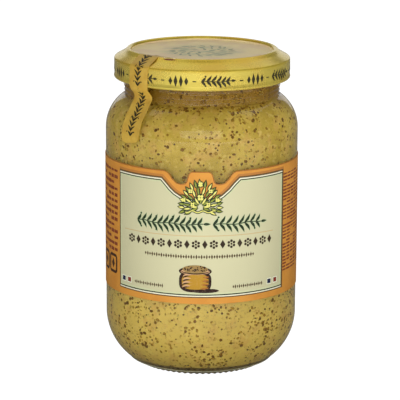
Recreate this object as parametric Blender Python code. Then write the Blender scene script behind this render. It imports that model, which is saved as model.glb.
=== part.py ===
"""Whole-grain mustard in a shut glass jar.

The clear turned jar stands on its foot ring at z = 0, round the Z axis. It holds
the mustard, and carries a twist-off metal lid, a paper label wrapped round its
body, whose middle faces -Y, and a paper seal strip that runs from the lid's
panel over its rim and down on to the jar's shoulder.

Lengths are in metres. An outline is a list of (radius, height) points. An
azimuth is counted from -Y towards +X.
"""

import math

import bmesh
import bpy

MM = 0.001

# Flats round every turned piece, and the gap between pieces that touch.
SEGMENTS = 56
GAP = 0.3 * MM

# Jar: body, heel arc, shoulder arc and neck.
BODY_RADIUS = 36.3 * MM
WALL = 2.4 * MM
HEEL_ARC = 21.7 * MM
HEEL_TOP = 19.7 * MM
SHOULDER_ARC = 15.0 * MM
SHOULDER_BASE = 91.2 * MM
NECK_RADIUS = 29.1 * MM
NECK_FILLET = 1.5 * MM
FOOT_WIDTH = 1.6 * MM
PUSH_UP = 2.2 * MM
FLOOR_EDGE = 4.8 * MM
FLOOR_RISE = 1.2 * MM

# Neck bead, and the finish that the lid covers.
NECK_BEAD_BASE = 106.1 * MM
NECK_BEAD_HEIGHT = 1.8 * MM
NECK_BEAD_OUT = 0.4 * MM
FINISH_BASE = 109.6 * MM
FINISH_RADIUS = 29.6 * MM
THREAD_BASE = 113.0 * MM
THREAD_HEIGHT = 2.4 * MM
THREAD_OUT = 1.2 * MM
RIM_TOP = 119.0 * MM
RIM_ROUND = 0.7 * MM

MUSTARD_LEVEL = 112.5 * MM

# Lid: sheet, skirt, rolled lower edge, sloping shoulder, crest and sunken panel.
LID_SHEET = 0.5 * MM
LID_RADIUS = 33.2 * MM
LID_BASE = 110.3 * MM
LID_CORNER_ROUND = 0.9 * MM
LID_SKIRT_TOP = 117.4 * MM
CURL_ROUND = 0.8 * MM
CURL_OUT = 0.1 * MM
CREST_TOP = 121.35 * MM
CREST_ROUND = 0.9 * MM
CREST_RADIUS = 27.75 * MM
PANEL_HEIGHT = 119.9 * MM
PANEL_ROUND = 0.6 * MM
SLOPE_NORMAL = 57.0

# Label: a ring of paper with a die-cut top edge, as distances round the body.
LABEL_RADIUS = 36.75 * MM
LABEL_PAPER = 0.2 * MM
LABEL_BASE = 31.1 * MM
LABEL_TOP = 81.3 * MM
LABEL_COLUMN = 5.0
CUT_COLUMN = 1.0 * MM
TAB_HALF = 2.5 * MM
TAB_FLANK = 3.7 * MM
CUT_FLOOR_END = 7.8 * MM
CUT_END = 13.4 * MM
CUT_DEPTH = 4.8 * MM

# Seal strip: width, paper, where it starts and ends, and its dip into the neck.
STRIP_WIDTH = 9.6 * MM
STRIP_PAPER = 0.2 * MM
STRIP_COLUMNS = 4
STRIP_AZIMUTH = -44.1
STRIP_DRIFT = -1.6
STRIP_START = 20.4 * MM
STRIP_END = 89.3 * MM
STRIP_CORNER = 1.6 * MM
STRIP_DIP_RADIUS = 30.5 * MM
STRIP_DIP_HEIGHT = 105.7 * MM
STRIP_TOUCH_ANGLE = 42.0


def arc(centre, radius, start, end, steps):
    """Points along a circle's arc from start to end degrees, both ends included."""
    points = []
    for i in range(steps + 1):
        angle = math.radians(start + (end - start) * i / steps)
        points.append((centre[0] + radius * math.cos(angle), centre[1] + radius * math.sin(angle)))
    return points


def dished(radius, rim_height, rise, steps):
    """Points of a shallow dome, from its middle out to its rim."""
    return [(radius * i / steps, rim_height + rise * (1 - (i / steps) ** 2)) for i in range(steps + 1)]


def ease(value):
    """A smooth step from 0 to 1 as value goes from 0 to 1."""
    value = min(max(value, 0.0), 1.0)
    return value * value * (3 - 2 * value)


def offset(points, distance):
    """The outline moved to its left by distance, seen along its direction."""
    moved = []
    for i, (r, z) in enumerate(points):
        before = points[max(i - 1, 0)]
        after = points[min(i + 1, len(points) - 1)]
        dr, dz = after[0] - before[0], after[1] - before[1]
        length = math.hypot(dr, dz)
        moved.append((max(r - dz / length * distance, 0.0) if r else 0.0, z + dr / length * distance))
    return moved


def heel(inset, floor, steps):
    """The heel's arc, inset from the jar's outside, from a floor height up to the body."""
    radius = HEEL_ARC - inset
    start = -math.degrees(math.asin((HEEL_TOP - floor) / radius))
    return arc((BODY_RADIUS - HEEL_ARC, HEEL_TOP), radius, start, 0, steps)


def shoulder(inset, end, steps):
    """The shoulder's arc, inset from the jar's outside, from the body up to an angle in degrees."""
    return arc((BODY_RADIUS - SHOULDER_ARC, SHOULDER_BASE), SHOULDER_ARC - inset, 0, end, steps)


def shoulder_angle(inset, radius):
    """The angle in degrees at which the inset shoulder has come in to a radius."""
    return math.degrees(math.acos((radius - BODY_RADIUS + SHOULDER_ARC) / (SHOULDER_ARC - inset)))


def ring_bead(radius, base, height, out):
    """A low rounded ring round a straight wall, from its lower to its upper edge."""
    return [(radius, base), (radius + out, base + 0.3 * height), (radius + out, base + 0.7 * height),
            (radius, base + height)]


def neck_fillet(steps):
    """The small hollow arc that joins the shoulder to the neck, and the angle where it starts."""
    across = NECK_RADIUS + NECK_FILLET - (BODY_RADIUS - SHOULDER_ARC)
    up = math.sqrt((SHOULDER_ARC + NECK_FILLET) ** 2 - across ** 2)
    start = math.degrees(math.atan2(up, across))
    centre = (NECK_RADIUS + NECK_FILLET, SHOULDER_BASE + up)
    return start, arc(centre, NECK_FILLET, start + 180, 180, steps)


def jar_outline():
    """The glass from the middle of its underside, up its outside and down its inside."""
    foot = heel(0, 0, 7)
    foot_inner = foot[0][0] - FOOT_WIDTH
    inner_neck = FINISH_RADIUS - WALL - 0.5 * MM
    fillet_start, fillet = neck_fillet(3)
    outside = dished(foot_inner, 0, PUSH_UP, 3) + foot + shoulder(0, fillet_start, 6) + fillet[1:]
    outside += ring_bead(NECK_RADIUS, NECK_BEAD_BASE, NECK_BEAD_HEIGHT, NECK_BEAD_OUT)
    outside += [(NECK_RADIUS, FINISH_BASE), (FINISH_RADIUS, FINISH_BASE + 1 * MM)]
    outside += ring_bead(FINISH_RADIUS, THREAD_BASE, THREAD_HEIGHT, THREAD_OUT)
    rim = arc((FINISH_RADIUS - RIM_ROUND, RIM_TOP - RIM_ROUND), RIM_ROUND, 0, 90, 2)
    rim += arc((inner_neck + RIM_ROUND, RIM_TOP - RIM_ROUND), RIM_ROUND, 90, 180, 2)
    inside = shoulder(WALL, shoulder_angle(WALL, inner_neck), 6)[::-1]
    inside += heel(WALL, FLOOR_EDGE, 5)[::-1]
    floor = dished(inside[-1][0], FLOOR_EDGE, FLOOR_RISE, 3)[::-1]
    return outside + rim + inside + floor[1:]


def mustard_outline():
    """The filling from the middle of its underside up to the middle of its level."""
    inset = WALL + GAP
    wall = heel(inset, FLOOR_EDGE + GAP, 5)
    neck = FINISH_RADIUS - WALL - 0.5 * MM - GAP
    outline = dished(wall[0][0], FLOOR_EDGE + GAP, FLOOR_RISE, 3)[:-1] + wall
    outline += shoulder(inset, shoulder_angle(inset, neck), 6)
    return outline + [(neck, MUSTARD_LEVEL), (0.0, MUSTARD_LEVEL)]


def lid_top():
    """The lid's outer face from the middle of its panel, over the crest, to the skirt's foot."""
    wall_radius = CREST_RADIUS - CREST_ROUND
    corner = (LID_RADIUS - LID_CORNER_ROUND, LID_SKIRT_TOP)
    points = [(0.0, PANEL_HEIGHT), (0.5 * wall_radius, PANEL_HEIGHT)]
    points += arc((wall_radius - PANEL_ROUND, PANEL_HEIGHT + PANEL_ROUND), PANEL_ROUND, -90, 0, 3)
    points += arc((CREST_RADIUS, CREST_TOP - CREST_ROUND), CREST_ROUND, 180, SLOPE_NORMAL, 5)
    points += arc(corner, LID_CORNER_ROUND, SLOPE_NORMAL, 0, 3)
    return points + [(LID_RADIUS, LID_BASE + 2.6 * MM)]


def lid_outline():
    """The lid's sheet: its outer face, the rolled lower edge and back up its inner face."""
    outer = lid_top()
    curl = arc((LID_RADIUS + CURL_OUT - CURL_ROUND, LID_BASE + CURL_ROUND), CURL_ROUND, 20, -180, 8)
    curl_end = (LID_RADIUS - LID_SHEET, LID_BASE + 2.2 * CURL_ROUND)
    inner = offset(outer[:-1], -LID_SHEET)
    return outer + curl + [curl_end] + inner[::-1]


def label_top(distance):
    """Height of the label's upper edge at a distance round the body from its middle."""
    across = abs(distance)
    cut = ease((across - TAB_HALF) / TAB_FLANK) * (1 - ease((across - CUT_FLOOR_END) / (CUT_END - CUT_FLOOR_END)))
    return LABEL_TOP - CUT_DEPTH * cut


def label_azimuths():
    """The label's columns in degrees: close together at the cut, wider round the rest."""
    half = int(math.ceil(CUT_END / CUT_COLUMN))
    azimuths = [math.degrees(i * CUT_COLUMN / LABEL_RADIUS) for i in range(-half, half + 1)]
    rest = int(360 / LABEL_COLUMN)
    wide = [i * LABEL_COLUMN for i in range(rest)]
    azimuths += [a for a in wide if azimuths[half * 2] < a < 360 + azimuths[0]]
    return azimuths


def strip_path():
    """The seal strip's middle line: over the lid, into the neck's hollow and down the shoulder."""
    clear = GAP + 0.5 * STRIP_PAPER
    over_lid = [p for p in offset(lid_top()[:-1], clear) if p[0] > STRIP_START]
    over_lid[0:0] = [(STRIP_START, PANEL_HEIGHT + clear), (23.0 * MM, PANEL_HEIGHT + clear)]
    down_skirt = [(LID_RADIUS + CURL_OUT + clear, z * MM) for z in (115.0, 113.0, 111.4)]
    on_glass = shoulder(-clear, STRIP_TOUCH_ANGLE, 7)[::-1] + [(BODY_RADIUS + clear, STRIP_END + STRIP_CORNER)]
    on_glass += [(BODY_RADIUS + clear, STRIP_END + STRIP_CORNER * part) for part in (0.6, 0.3, 0.1, 0.0)]
    skirt_foot = (LID_RADIUS + CURL_OUT + clear, LID_BASE)
    dip = (STRIP_DIP_RADIUS, STRIP_DIP_HEIGHT)
    return over_lid + down_skirt + eased(skirt_foot, dip, 6) + eased(dip, on_glass[0], 5)[1:] + on_glass[1:]


def eased(start, end, steps):
    """Points from start to end whose radius changes smoothly with height."""
    points = []
    for i in range(steps + 1):
        part = i / steps
        radius = start[0] + (end[0] - start[0]) * ease(part)
        points.append((radius, start[1] + (end[1] - start[1]) * part))
    return points


def place(radius, azimuth, height):
    """A point in space from its radius, azimuth in radians and height."""
    return (radius * math.sin(azimuth), -radius * math.cos(azimuth), height)


def finished(name, bm, material):
    """A named, smooth-shaded object from a closed bmesh whose faces are turned outwards."""
    bmesh.ops.recalc_face_normals(bm, faces=bm.faces)
    mesh = bpy.data.meshes.new(name)
    bm.to_mesh(mesh)
    bm.free()
    mesh.shade_smooth()
    mesh.set_sharp_from_angle(angle=math.radians(40))
    mesh.materials.append(material)
    piece = bpy.data.objects.new(name, mesh)
    bpy.context.scene.collection.objects.link(piece)
    return piece


def turned(name, outline, material):
    """A closed solid of revolution from an outline that starts and ends on the axis."""
    bm = bmesh.new()
    verts = [bm.verts.new((r, 0.0, z)) for r, z in outline]
    edges = [bm.edges.new(pair) for pair in zip(verts, verts[1:])]
    bmesh.ops.spin(bm, geom=verts + edges, axis=(0, 0, 1), cent=(0, 0, 0), angle=2 * math.pi,
                   steps=SEGMENTS, use_merge=True)
    bmesh.ops.remove_doubles(bm, verts=bm.verts, dist=0.001 * MM)
    return finished(name, bm, material)


def skin(bm, rows, closed):
    """Quads between neighbouring rows of vertices; each row is a closed loop."""
    count = len(rows)
    for i in range(count if closed else count - 1):
        row, following = rows[i], rows[(i + 1) % count]
        for j in range(len(row)):
            k = (j + 1) % len(row)
            bm.faces.new((row[j], row[k], following[k], following[j]))
    if not closed:
        bm.faces.new(rows[0])
        bm.faces.new(rows[-1])


def wrapped_label(material):
    """The paper ring: one section of four corners at each column, joined all round."""
    bm = bmesh.new()
    rows = []
    inner = LABEL_RADIUS - LABEL_PAPER
    for degrees in label_azimuths():
        azimuth = math.radians(degrees)
        signed = (azimuth + math.pi) % (2 * math.pi) - math.pi
        top = label_top(signed * LABEL_RADIUS)
        corners = [(LABEL_RADIUS, LABEL_BASE), (LABEL_RADIUS, top), (inner, top), (inner, LABEL_BASE)]
        rows.append([bm.verts.new(place(r, azimuth, z)) for r, z in corners])
    skin(bm, rows, closed=True)
    return finished("label", bm, material)


def half_width(left):
    """The strip's half width at a distance from its end, where the corners are rounded."""
    into = max(STRIP_CORNER - left, 0.0)
    return 0.5 * STRIP_WIDTH - STRIP_CORNER + math.sqrt(STRIP_CORNER ** 2 - into ** 2)


def seal_strip(material):
    """The strip: a thin section at each point of its path, wrapped round the jar's axis."""
    path = strip_path()
    faces = (offset(path, 0.5 * STRIP_PAPER), offset(path, -0.5 * STRIP_PAPER))
    heights = [z for _, z in path]
    bm = bmesh.new()
    rows = []
    for i, height in enumerate(heights):
        fall = ease((CREST_TOP - height) / (CREST_TOP - SHOULDER_BASE))
        middle = math.radians(STRIP_AZIMUTH + STRIP_DRIFT * fall)
        half = half_width(height - STRIP_END)
        row = []
        for face, order in zip(faces, (1, -1)):
            for j in range(STRIP_COLUMNS + 1)[::order]:
                across = half * (2 * j / STRIP_COLUMNS - 1)
                r, z = face[i]
                row.append(bm.verts.new(place(r, middle + across / path[i][0], z)))
        rows.append(row)
    skin(bm, rows, closed=False)
    return finished("seal_strip", bm, material)


def finish(name, colour, roughness, metallic=0.0, transmission=0.0):
    """A Principled material."""
    material = bpy.data.materials.new(name)
    material.use_nodes = True
    shader = material.node_tree.nodes["Principled BSDF"]
    shader.inputs["Base Color"].default_value = (*colour, 1.0)
    shader.inputs["Roughness"].default_value = roughness
    shader.inputs["Metallic"].default_value = metallic
    shader.inputs["Transmission Weight"].default_value = transmission
    return material


def main():
    """Builds the jar and everything that is on it and in it."""
    for piece in list(bpy.data.objects):
        bpy.data.objects.remove(piece, do_unlink=True)
    turned("jar_glass", jar_outline(), finish("glass", (0.86, 0.90, 0.87), 0.04, transmission=1.0))
    turned("mustard", mustard_outline(), finish("mustard", (0.52, 0.38, 0.11), 0.5))
    turned("lid", lid_outline(), finish("gold_lacquer", (0.72, 0.55, 0.22), 0.28, metallic=1.0))
    wrapped_label(finish("label_paper", (0.72, 0.36, 0.09), 0.6))
    seal_strip(finish("strip_paper", (0.62, 0.47, 0.15), 0.5))


if __name__ == "__main__":
    main()
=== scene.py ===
"""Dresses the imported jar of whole-grain mustard: glass, filling, lid, label and seal strip.

Lengths are in metres, in the CAD model's own frame: the jar stands on z = 0 round
the Z axis, and its label's middle faces -Y. An outline is a list of (radius, height)
points. An azimuth is counted from -Y towards +X. Flat prints are drawn in millimetres
in their sheet's own plane, across and up, and then laid on what carries them.
"""

from __future__ import annotations

import logging
import math
import random
from collections import defaultdict
from dataclasses import dataclass, field
from enum import Enum
from typing import Callable, Iterable

import bmesh
import bpy
from mathutils import Matrix, Vector, noise

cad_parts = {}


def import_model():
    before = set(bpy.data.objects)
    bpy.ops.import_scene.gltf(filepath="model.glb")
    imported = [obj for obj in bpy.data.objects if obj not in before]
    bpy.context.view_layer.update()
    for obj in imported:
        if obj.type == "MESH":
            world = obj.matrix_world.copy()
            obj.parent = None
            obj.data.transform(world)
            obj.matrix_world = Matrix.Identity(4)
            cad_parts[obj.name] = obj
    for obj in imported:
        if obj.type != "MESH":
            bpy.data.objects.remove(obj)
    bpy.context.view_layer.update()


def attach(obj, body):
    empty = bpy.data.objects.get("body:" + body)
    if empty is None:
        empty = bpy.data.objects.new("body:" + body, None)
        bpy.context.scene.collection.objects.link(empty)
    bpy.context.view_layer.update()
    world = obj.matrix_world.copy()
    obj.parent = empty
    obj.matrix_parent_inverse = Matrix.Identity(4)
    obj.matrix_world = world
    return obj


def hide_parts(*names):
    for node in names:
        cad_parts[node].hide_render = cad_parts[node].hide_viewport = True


LOG = logging.getLogger("mustard_jar")
MM = 0.001
MATT_GLOSS = 0.3

Point = tuple[float, float]
Colour = tuple[float, float, float, float]
Piece = bpy.types.Object
Finish = bpy.types.Material


def paint(red: int, green: int, blue: int) -> Colour:
    """A linear colour from display values of 0 to 255.

    Args:
        red: how much red.
        green: how much green.
        blue: how much blue.

    Returns:
        The colour, with full alpha.
    """
    parts = [value / 255 for value in (red, green, blue)]
    linear = [v / 12.92 if v <= 0.04045 else ((v + 0.055) / 1.055) ** 2.4 for v in parts]
    return (*linear, 1.0)


def ease(value: float) -> float:
    """A smooth step from 0 to 1 as value goes from 0 to 1."""
    value = min(max(value, 0.0), 1.0)
    return value * value * (3 - 2 * value)


def place(radius: float, azimuth: float, height: float) -> Vector:
    """A point in space from its radius, azimuth in radians and height."""
    return Vector((radius * math.sin(azimuth), -radius * math.cos(azimuth), height))


def spoke(centre: Point, reach: float, degrees: float) -> Point:
    """The flat point at a reach from a centre, at an angle from the first axis."""
    angle = math.radians(degrees)
    return centre[0] + reach * math.cos(angle), centre[1] + reach * math.sin(angle)


class Signal:
    """A socket in a node tree, for maths written as Python expressions."""

    def __init__(self, wiring: Wiring, socket: bpy.types.NodeSocket) -> None:
        """Keeps the tree's wiring and the socket."""
        self.wiring = wiring
        self.socket = socket

    def maths(self, operation: str, *values: Signal | float) -> Signal:
        """Adds a Math node whose first value is this one."""
        return self.wiring.maths(operation, self, *values)

    def output(self, key: str) -> Signal:
        """Another output of the same node."""
        return Signal(self.wiring, self.wiring.find(self.socket.node.outputs, key))

    def smooth(self, low: float | Signal, high: float | Signal) -> Signal:
        """A smooth step from 0 at low to 1 at high."""
        return self.wiring.add("ShaderNodeMapRange", {"interpolation_type": "SMOOTHSTEP"},
                               {"Value": self, "From Min": low, "From Max": high})

    def __add__(self, other: Signal | float) -> Signal:
        """This plus other."""
        return self.maths("ADD", other)

    def __sub__(self, other: Signal | float) -> Signal:
        """This minus other."""
        return self.maths("SUBTRACT", other)

    def __rsub__(self, other: float) -> Signal:
        """Other minus this."""
        return self.wiring.maths("SUBTRACT", other, self)

    def __mul__(self, other: Signal | float) -> Signal:
        """This times other."""
        return self.maths("MULTIPLY", other)

    def __truediv__(self, other: Signal | float) -> Signal:
        """This divided by other."""
        return self.maths("DIVIDE", other)

    def __gt__(self, other: Signal | float) -> Signal:
        """1 where this is greater than other, else 0."""
        return self.maths("GREATER_THAN", other)

    def __lt__(self, other: Signal | float) -> Signal:
        """1 where this is less than other, else 0."""
        return self.maths("LESS_THAN", other)

    __radd__ = __add__
    __rmul__ = __mul__


class Wiring:
    """Adds nodes to one tree, a material's or a Geometry Nodes one."""

    def __init__(self, tree: bpy.types.NodeTree) -> None:
        """Keeps the tree."""
        self.tree = tree

    @staticmethod
    def find(sockets: Iterable[bpy.types.NodeSocket], key: str | int) -> bpy.types.NodeSocket:
        """The socket at a number or with an identifier.

        Args:
            sockets: where it is looked for.
            key: the number or identifier.

        Returns:
            The socket.
        """
        if isinstance(key, int):
            return sockets[key]
        return next(socket for socket in sockets if socket.identifier == key)

    def feed(self, socket: bpy.types.NodeSocket, value: object) -> None:
        """Links a signal to a socket, or sets the socket to a plain value.

        Args:
            socket: the input.
            value: the signal or plain value.
        """
        if isinstance(value, Signal):
            self.tree.links.new(value.socket, socket)
        else:
            socket.default_value = value

    def add(self, kind: str, settings: dict | None = None, values: dict | None = None,
            output: str | int = 0) -> Signal:
        """Adds a node.

        Args:
            kind: the node's type.
            settings: its properties, which are set first.
            values: values or signals for its inputs, by identifier.
            output: the output that is returned.

        Returns:
            The signal at that output.
        """
        node = self.tree.nodes.new(kind)
        for name, value in (settings or {}).items():
            setattr(node, name, value)
        for key, value in (values or {}).items():
            self.feed(self.find(node.inputs, key), value)
        return Signal(self, self.find(node.outputs, output))

    def maths(self, operation: str, *values: Signal | float) -> Signal:
        """Adds a Math node on up to three values."""
        keys = ("Value", "Value_001", "Value_002")
        return self.add("ShaderNodeMath", {"operation": operation}, dict(zip(keys, values)))

    def split(self, vector: Signal) -> tuple[Signal, Signal, Signal]:
        """The three parts of a vector."""
        x = self.add("ShaderNodeSeparateXYZ", None, {"Vector": vector})
        return x, x.output("Y"), x.output("Z")

    def joined(self, x: Signal | float, y: Signal | float, z: Signal | float) -> Signal:
        """A vector from its three parts."""
        return self.add("ShaderNodeCombineXYZ", None, {"X": x, "Y": y, "Z": z})

    def noise(self, point: Signal, grain: float, detail: float = 2.0, roughness: float = 0.5) -> Signal:
        """Noise whose features are about grain metres across, from 0 to 1."""
        return self.add("ShaderNodeTexNoise", None, {
            "Vector": point, "Scale": 1 / grain, "Detail": detail, "Roughness": roughness})


class Dressing(Wiring):
    """A material's node tree with its Principled shader."""

    def __init__(self, name: str) -> None:
        """Makes the material.

        Args:
            name: the material's name.
        """
        self.material = bpy.data.materials.new(name)
        self.material.use_nodes = True
        super().__init__(self.material.node_tree)
        self.shader = self.material.node_tree.nodes["Principled BSDF"]

    def set(self, values: dict) -> None:
        """Sets or links the shader's inputs, by identifier."""
        for key, value in values.items():
            self.feed(self.find(self.shader.inputs, key), value)

    def point(self) -> Signal:
        """The shaded point in the object's own coordinates."""
        return self.add("ShaderNodeTexCoord", None, None, "Object")

    def stretched(self, scale: tuple[float, float, float]) -> Signal:
        """The shaded point, with each axis scaled."""
        return self.add("ShaderNodeMapping", None, {"Vector": self.point(), "Scale": scale})

    def blend(self, factor: Signal | float, first: Signal | Colour, second: Signal | Colour) -> Signal:
        """A colour between two, by factor."""
        return self.add("ShaderNodeMix", {"data_type": "RGBA"},
                        {"Factor_Float": factor, "A_Color": first, "B_Color": second}, "Result_Color")

    def mixed(self, factor: Signal, other: Signal) -> None:
        """Shows another shader in place of the Principled one where factor is 1.

        Args:
            factor: where the other shader shows.
            other: the other shader.
        """
        own = Signal(self, self.shader.outputs[0])
        blend = self.add("ShaderNodeMixShader", None, {"Fac": factor, "Shader": own, "Shader_001": other})
        self.feed(self.tree.nodes["Material Output"].inputs["Surface"], blend)

    def bump(self, height: Signal, distance: float, strength: float = 1.0) -> None:
        """Feeds the shader's normal from a height of up to distance metres."""
        self.set({"Normal": self.add("ShaderNodeBump", None,
                                     {"Height": height, "Distance": distance, "Strength": strength})})


class Recipe(Wiring):
    """A Geometry Nodes tree with named inputs, built in code."""

    def __init__(self, name: str) -> None:
        """Makes the tree with its geometry input and output.

        Args:
            name: the tree's name.
        """
        super().__init__(bpy.data.node_groups.new(name, "GeometryNodeTree"))
        for side in ("INPUT", "OUTPUT"):
            self.tree.interface.new_socket(name="Geometry", in_out=side, socket_type="NodeSocketGeometry")
        self.entry = self.tree.nodes.new("NodeGroupInput")
        self.exit = self.tree.nodes.new("NodeGroupOutput")
        self.values: dict[str, float] = {}
        self.geometry = Signal(self, self.entry.outputs[0])

    def size(self, name: str, value: float) -> Signal:
        """Adds a named input with its value, whole where the value is.

        Args:
            name: the input's name.
            value: what it is set to.

        Returns:
            The input's signal.
        """
        kind = "NodeSocketInt" if isinstance(value, int) else "NodeSocketFloat"
        item = self.tree.interface.new_socket(name=name, in_out="INPUT", socket_type=kind)
        self.values[item.identifier] = value
        return Signal(self, self.find(self.entry.outputs, item.identifier))

    def position(self) -> Signal:
        """The position of the point that a field is worked out at."""
        return self.add("GeometryNodeInputPosition")

    def chance(self, low: float | Signal, high: float | Signal, seed: int | Signal) -> Signal:
        """A random number for each point, between low and high."""
        return self.add("FunctionNodeRandomValue", {"data_type": "FLOAT"},
                        {"Min_001": low, "Max_001": high, "Seed": seed}, "Value_001")

    def wrapped(self, geometry: Signal, girth: float, surface: float) -> Signal:
        """Bends a flat sheet round the Z axis.

        Args:
            geometry: the sheet, across along X and up along Y.
            girth: the radius at which a distance across is measured.
            surface: the radius where the sheet lies.

        Returns:
            The bent geometry.
        """
        across, up, rise = self.split(self.position())
        azimuth = across / self.size("Girth Radius", girth)
        radius = self.size("Surface Radius", surface) + rise
        spot = self.joined(azimuth.maths("SINE") * radius, azimuth.maths("COSINE") * radius * -1.0, up)
        return self.add("GeometryNodeSetPosition", None, {"Geometry": geometry, "Position": spot})

    def grown(self, name: str, start: Piece, geometry: Signal,
              material: Finish) -> Piece:
        """Ends the tree, runs it on an object and keeps the result as a plain mesh.

        Args:
            name: the piece's name.
            start: the object that the tree starts from, which is used up.
            geometry: the tree's last geometry.
            material: the finish of the whole piece.

        Returns:
            The finished piece.
        """
        realized = self.add("GeometryNodeRealizeInstances", None, {"Geometry": geometry})
        dressed = self.add("GeometryNodeSetMaterial", None, {"Geometry": realized, "Material": material})
        self.tree.links.new(dressed.socket, self.exit.inputs[0])
        modifier = start.modifiers.new(name, "NODES")
        modifier.node_group = self.tree
        for identifier, value in self.values.items():
            modifier[identifier] = value
        graph = bpy.context.evaluated_depsgraph_get()
        mesh = bpy.data.meshes.new_from_object(start.evaluated_get(graph), preserve_all_data_layers=True,
                                               depsgraph=graph)
        start.modifiers.clear()
        bpy.data.objects.remove(start, do_unlink=True)
        mesh.name = name
        return Workshop.linked(name, mesh)


class Workshop:
    """Small jobs on meshes and objects that several pieces share."""

    segments: int = 180

    @staticmethod
    def linked(name: str, data: bpy.types.ID) -> Piece:
        """A new object in the scene on a mesh, curve, light or camera.

        Args:
            name: its name.
            data: the mesh, curve, light or camera.

        Returns:
            The object.
        """
        piece = bpy.data.objects.new(name, data)
        bpy.context.scene.collection.objects.link(piece)
        return piece

    @staticmethod
    def profile(points: list[Point]) -> Piece:
        """An open curve through flat points.

        Args:
            points: the points in order.

        Returns:
            The curve's object.
        """
        curve = bpy.data.curves.new("profile", "CURVE")
        curve.dimensions = "3D"
        spline = curve.splines.new("POLY")
        spline.points.add(len(points) - 1)
        for spot, (x, y) in zip(spline.points, points):
            spot.co = (x, y, 0.0, 1.0)
        return Workshop.linked("profile", curve)

    @staticmethod
    def mesh(name: str, built: bmesh.types.BMesh, material: Finish | None = None) -> bpy.types.Mesh:
        """A mesh of what was built, with its finish if it has one.

        Args:
            name: its name.
            built: what was built, which is used up.
            material: its finish.

        Returns:
            The mesh.
        """
        mesh = bpy.data.meshes.new(name)
        built.to_mesh(mesh)
        built.free()
        if material:
            mesh.materials.append(material)
        return mesh

    @staticmethod
    def smooth(piece: Piece, angle: float = 40.0, closed: bool = True) -> Piece:
        """Shades a piece smooth but for edges over an angle, and turns a closed one's faces outwards.

        Args:
            piece: the piece.
            angle: the angle in degrees.
            closed: whether it is a closed solid.

        Returns:
            The same piece.
        """
        if closed:
            built = bmesh.new()
            built.from_mesh(piece.data)
            bmesh.ops.recalc_face_normals(built, faces=built.faces)
            built.to_mesh(piece.data)
            built.free()
        piece.data.shade_smooth()
        piece.data.set_sharp_from_angle(angle=math.radians(angle))
        return piece

    @staticmethod
    def turned_sheet(name: str, points: list[Point], material: Finish) -> Piece:
        """A thin open sheet turned round the Z axis, which faces to the left of its outline.

        Args:
            name: the piece's name.
            points: its outline, as (radius, height) points.
            material: its finish.

        Returns:
            The finished piece.
        """
        count = Workshop.segments
        built = bmesh.new()
        rings = [[built.verts.new(place(r, 2 * math.pi * i / count, z)) for i in range(count)]
                 for r, z in points if r > 0]
        middle = built.verts.new((0.0, 0.0, points[0][1])) if points[0][0] == 0 else None
        for i in range(count):
            j = (i + 1) % count
            if middle:
                built.faces.new((middle, rings[0][i], rings[0][j]))
            for inner, outer in zip(rings, rings[1:]):
                built.faces.new((inner[i], outer[i], outer[j], inner[j]))
        return Workshop.smooth(Workshop.linked(name, Workshop.mesh(name, built, material)), closed=False)

    @staticmethod
    def closed_sheet(name: str, rings: list[list[Vector]], material: Finish,
                     angle: float = 40.0) -> Piece:
        """A thin closed sheet from its cross-sections.

        Args:
            name: the piece's name.
            rings: the points of each cross-section, along one side of the sheet and back along the other.
            material: its finish.
            angle: the angle in degrees over which an edge stays sharp.

        Returns:
            The finished piece.
        """
        built = bmesh.new()
        rows = [[built.verts.new(point) for point in ring] for ring in rings]
        for row, following in zip(rows, rows[1:]):
            for i in range(len(row)):
                j = (i + 1) % len(row)
                built.faces.new((row[i], following[i], following[j], row[j]))
        for row in (rows[0], rows[-1]):
            for i in range(len(row) // 2 - 1):
                built.faces.new((row[i], row[i + 1], row[-2 - i], row[-1 - i]))
        return Workshop.smooth(Workshop.linked(name, Workshop.mesh(name, built, material)), angle)

    @staticmethod
    def fitted(piece: Piece, slot: str, *nodes: str) -> None:
        """Puts a piece on the jar's body, in place of CAD nodes if named.

        Args:
            piece: the piece.
            slot: not used.
            nodes: the CAD nodes that it takes the place of.
        """
        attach(piece, "root")
        if nodes:
            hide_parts(*nodes)
        piece.data.calc_loop_triangles()
        LOG.info("%s: %d triangles", piece.name, len(piece.data.loop_triangles))


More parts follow.
